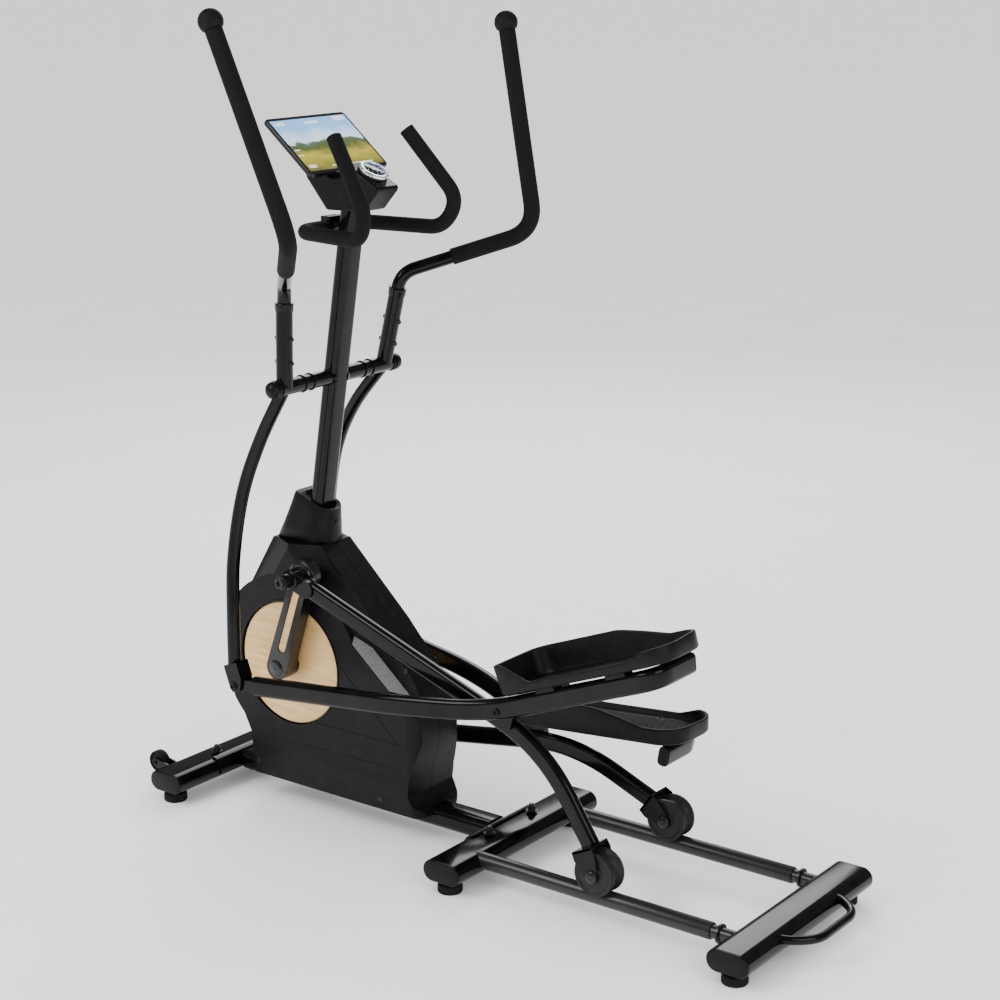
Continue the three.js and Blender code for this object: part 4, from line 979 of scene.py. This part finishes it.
# ---- fixed handlebar, console and tablet
def fixed_handlebar():
    x = ROCKER.x
    for name, sign in SIDES:
        offsets = ((0, 96, 1210), (176, 125, 1209), (202, 141, 1264), (103, 108, 1393))
        corners = [(x + u, sign * y, z) for u, y, z in offsets]
        whole = bent([(x, 0, FIXED_BAR_Z)] + corners, [34, 30, 34])
        node = "fixed_handlebar" if sign < 0 else None
        Shape().sweep(whole, circle(FIXED_TUBE, 24)).finish(name + "_fixed_bar_tube", GLOSS, "frame", node)
        tip = Vector(corners[-1])
        end = tip + (tip - Vector(corners[-2])).normalized() * 4
        foam = bent([(x, sign * 34, FIXED_BAR_Z)] + corners[:-1] + [end], [34, 30, 34])
        piece = Shape().sweep(foam, circle(FIXED_GRIP, 28)).finish(
            name + "_fixed_foam", FOAM, "frame", name + "_fixed_grip", bevel=2)
    clamp = Shape().block((x - 13, -20, FIXED_BAR_Z - 20), (x + 10, 20, FIXED_BAR_Z + 22))
    for y, z in ((11, FIXED_BAR_Z - 10), (-11, FIXED_BAR_Z + 12)):
        clamp.bolt((x - 13, y, z), (-1, 0, 0), 4, 4)
    clamp.finish("fixed_bar_clamp", GLOSS, bevel=2)


def tablet_frame():
    """The tablet's own frame: x down its slope from its centre, z out of its face."""
    return Matrix.Translation(middle("tablet")) @ Matrix.Rotation(math.radians(40), 4, "Y")


def console():
    """The console's shell under the tablet, with the ledge that holds it."""
    place = tablet_frame()
    centre = pivot("dial_turn")
    front = [(-91, -72), (3, -69), (38, -30), (40, -24), (37, -20.5), (-40, 21.5)]
    rest = [place @ Vector((u, 0, v)) for u, v in ((77, 6), (77, -6), (-20, -6), (-20, -12))]
    back = [(-146, 14), (-141, -12)]
    under_tablet = [(p.x, p.z) for p in rest]
    outline = shifted(front, centre.x, centre.z) + under_tablet + shifted(back, centre.x, centre.z)
    shell = Shape().plate([outline], "y", -33, 33)
    soften(shell.finish("console_shell", PLASTIC, "frame", "console_body", angle=30), 5, 3)
    plate = [(-40, -62), (78.5, -62), (82, -50), (82, 50), (78.5, 62), (-40, 62)]
    ledge = Shape(place).plate([plate], "z", -9.5, -5.4)
    ledge.block((77.2, -46, -9), (81, 46, 7))
    ledge.finish("tablet_ledge", PLASTIC, bevel=1)


def dial():
    centre = pivot("dial_turn")
    axis = Vector(JOINTS["dial_turn"]["axis"])
    knob = Shape().turned([(30, 0.5), (30.6, 1.4), (30.6, 6), (30, 7), (22, 7)], centre, axis, 64)
    knob.finish("dial_base", PLASTIC, "dial", "console_dial", "silver")
    rim = [(23, 6.6), (30.4, 6.6), (30.6, 8), (29.4, 11.6), (27.6, 12.8), (24.2, 12.6), (23, 11)]
    Shape().ring(rim, centre, axis, 72).finish("dial_silver_rim", SILVER, "dial")
    glow = [(20.6, 6.8), (23.2, 6.8), (23.2, 11.2), (20.6, 11.2)]
    Shape().ring(glow, centre, axis, 72).finish("dial_blue_ring", BLUE, "dial")
    face = Shape().turned([(20.8, 6.8), (20.8, 10.6), (20, 11.1), (0, 11.3)], centre, axis, 64)
    face.finish("dial_face", BEZEL, "dial", slot="dark_plastic")
    marks = Shape(Matrix.Translation(centre) @ axis.to_track_quat("Z", "X").to_matrix().to_4x4())
    for k in range(9):
        a = math.radians(40 * k)
        marks.turned([(0.9, 11.1), (0.9, 11.6)], (15 * math.cos(a), 15 * math.sin(a), 0), (0, 0, 1), 10)
    marks.block((-1, -5, 11.2), (1, 5, 11.7))
    marks.finish("dial_marks", WHITE, "dial")


def tablet():
    place = tablet_frame()
    tall, wide = 152.8, 230
    rings = []
    for inset, height in ((2.2, -4.8), (0.6, -4), (0, -2.5), (0, 2.6), (0.5, 4), (1.4, 4.8)):
        outline = rounded(tall - 2 * inset, wide - 2 * inset, 9 - inset, 8)
        rings.append([(u, v, height) for u, v in outline])
    Shape(place).loft(rings).finish("tablet_slab", BEZEL, "tablet", "tablet")
    layers = [[(u, v, height) for u, v in rounded(tall - 17, wide - 13, 1.5, 3)] for height in (4.82, 5)]
    screen = Shape(place).loft(layers).finish("tablet_screen", PICTURE, "tablet")
    layer = screen.data.uv_layers.new(name="UVMap")
    back = place.inverted()
    for corner, place_on_screen in zip(screen.data.loops, layer.data):
        p = back @ (screen.data.vertices[corner.vertex_index].co / MM)
        place_on_screen.uv = (p.y / wide + 0.5, 0.5 - p.x / tall)
    panels = [(-56, 0, 7, 40), (-60, 84, 12, 34), (-58, -88, 9, 26)]
    rows = [(u, -98, 3, 16) for u in range(-30, 27, 14)]
    marks = Shape(place)
    for u, v, width, height in panels + rows + [(60, 20, 3, 120), (56, -92, 8, 22)]:
        outline = rounded(width, height, min(width, height) * 0.4, 4)
        marks.plate([shifted(outline, u, v)], "z", 5.02, 5.12)
    marks.finish("tablet_picture_marks", WHITE, "tablet")


# ---- stage
LAMPS = (
    ("key", (-1.5, -3.2, 3.4), 2.2, 120),
    ("fill", (3.4, -1.2, 2.2), 2.4, 60),
    ("rim", (-2.0, 3.2, 3.0), 2.4, 90),
)
LAMP_TARGET = Vector((0, 0, 0.7))
CAMERA_PLACE, CAMERA_YAW, CAMERA_PITCH, CAMERA_LENS = (2.4157, -3.2167, 1.7754), 0.63975, 0.25698, 78.48684


def studio():
    """A pale floor, an even pale sky that gloss reflects less of, and three soft lamps. Metres."""
    reach = 90
    floor = bpy.data.meshes.new("floor")
    corners = [(-reach, -reach, 0), (reach, -reach, 0), (reach, reach, 0), (-reach, reach, 0)]
    floor.from_pydata(corners, [], [(0, 1, 2, 3)])
    paint = surface("pale_floor", None, (0.9, 0.9, 0.9), 0.7, mottle=(0.01, 3), grain=(0.02, 60), spread=0.03)
    floor.materials.append(paint)
    placed("floor", floor)
    world = bpy.data.worlds.new("studio")
    world.use_nodes = True
    nodes, links = world.node_tree.nodes, world.node_tree.links
    sky = nodes["Background"]
    sky.inputs["Color"].default_value = (1, 1, 1, 1)
    rays = nodes.new("ShaderNodeLightPath")
    level = nodes.new("ShaderNodeMapRange")
    level.inputs["To Min"].default_value = 1.5
    level.inputs["To Max"].default_value = 0.22
    links.new(rays.outputs["Is Glossy Ray"], level.inputs["Value"])
    links.new(level.outputs["Result"], sky.inputs["Strength"])
    bpy.context.scene.world = world
    for name, place, size, power in LAMPS:
        lamp = bpy.data.lights.new(name, "AREA")
        lamp.size = size
        lamp.energy = power
        holder = placed(name, lamp)
        holder.location = place
        holder.rotation_euler = (LAMP_TARGET - Vector(place)).to_track_quat("-Z", "Y").to_euler()


def camera():
    lens = bpy.data.cameras.new("camera")
    lens.sensor_width = 36
    lens.lens = CAMERA_LENS
    holder = placed("camera", lens)
    holder.location = CAMERA_PLACE
    level = math.cos(CAMERA_PITCH)
    ahead = Vector((-math.sin(CAMERA_YAW) * level, math.cos(CAMERA_YAW) * level, -math.sin(CAMERA_PITCH)))
    holder.rotation_euler = ahead.to_track_quat("-Z", "Y").to_euler()
    bpy.context.scene.camera = holder


# ---- assembly
camera()
studio()
for foot in ("front", "middle", "rear"):
    foot_tube(foot)
levelling_pads()
transport_wheels()
main_beam()
rails()
carry_handle()
mast()
housing()
collar()
cranks()
swing_arms()
pedal_bars()
rods()
fixed_handlebar()
console()
dial()
tablet()
for material, names in ((STEEL, ("crank_axle", "flywheel", "idler_pulley", "magnet_bracket")),
                        (PLASTIC, ("frame_post", "drive_pulley", "belt", "servo_motor"))):
    for name in names:
        inner = frame["nodes"][name].data
        inner.materials.clear()
        inner.materials.append(material)
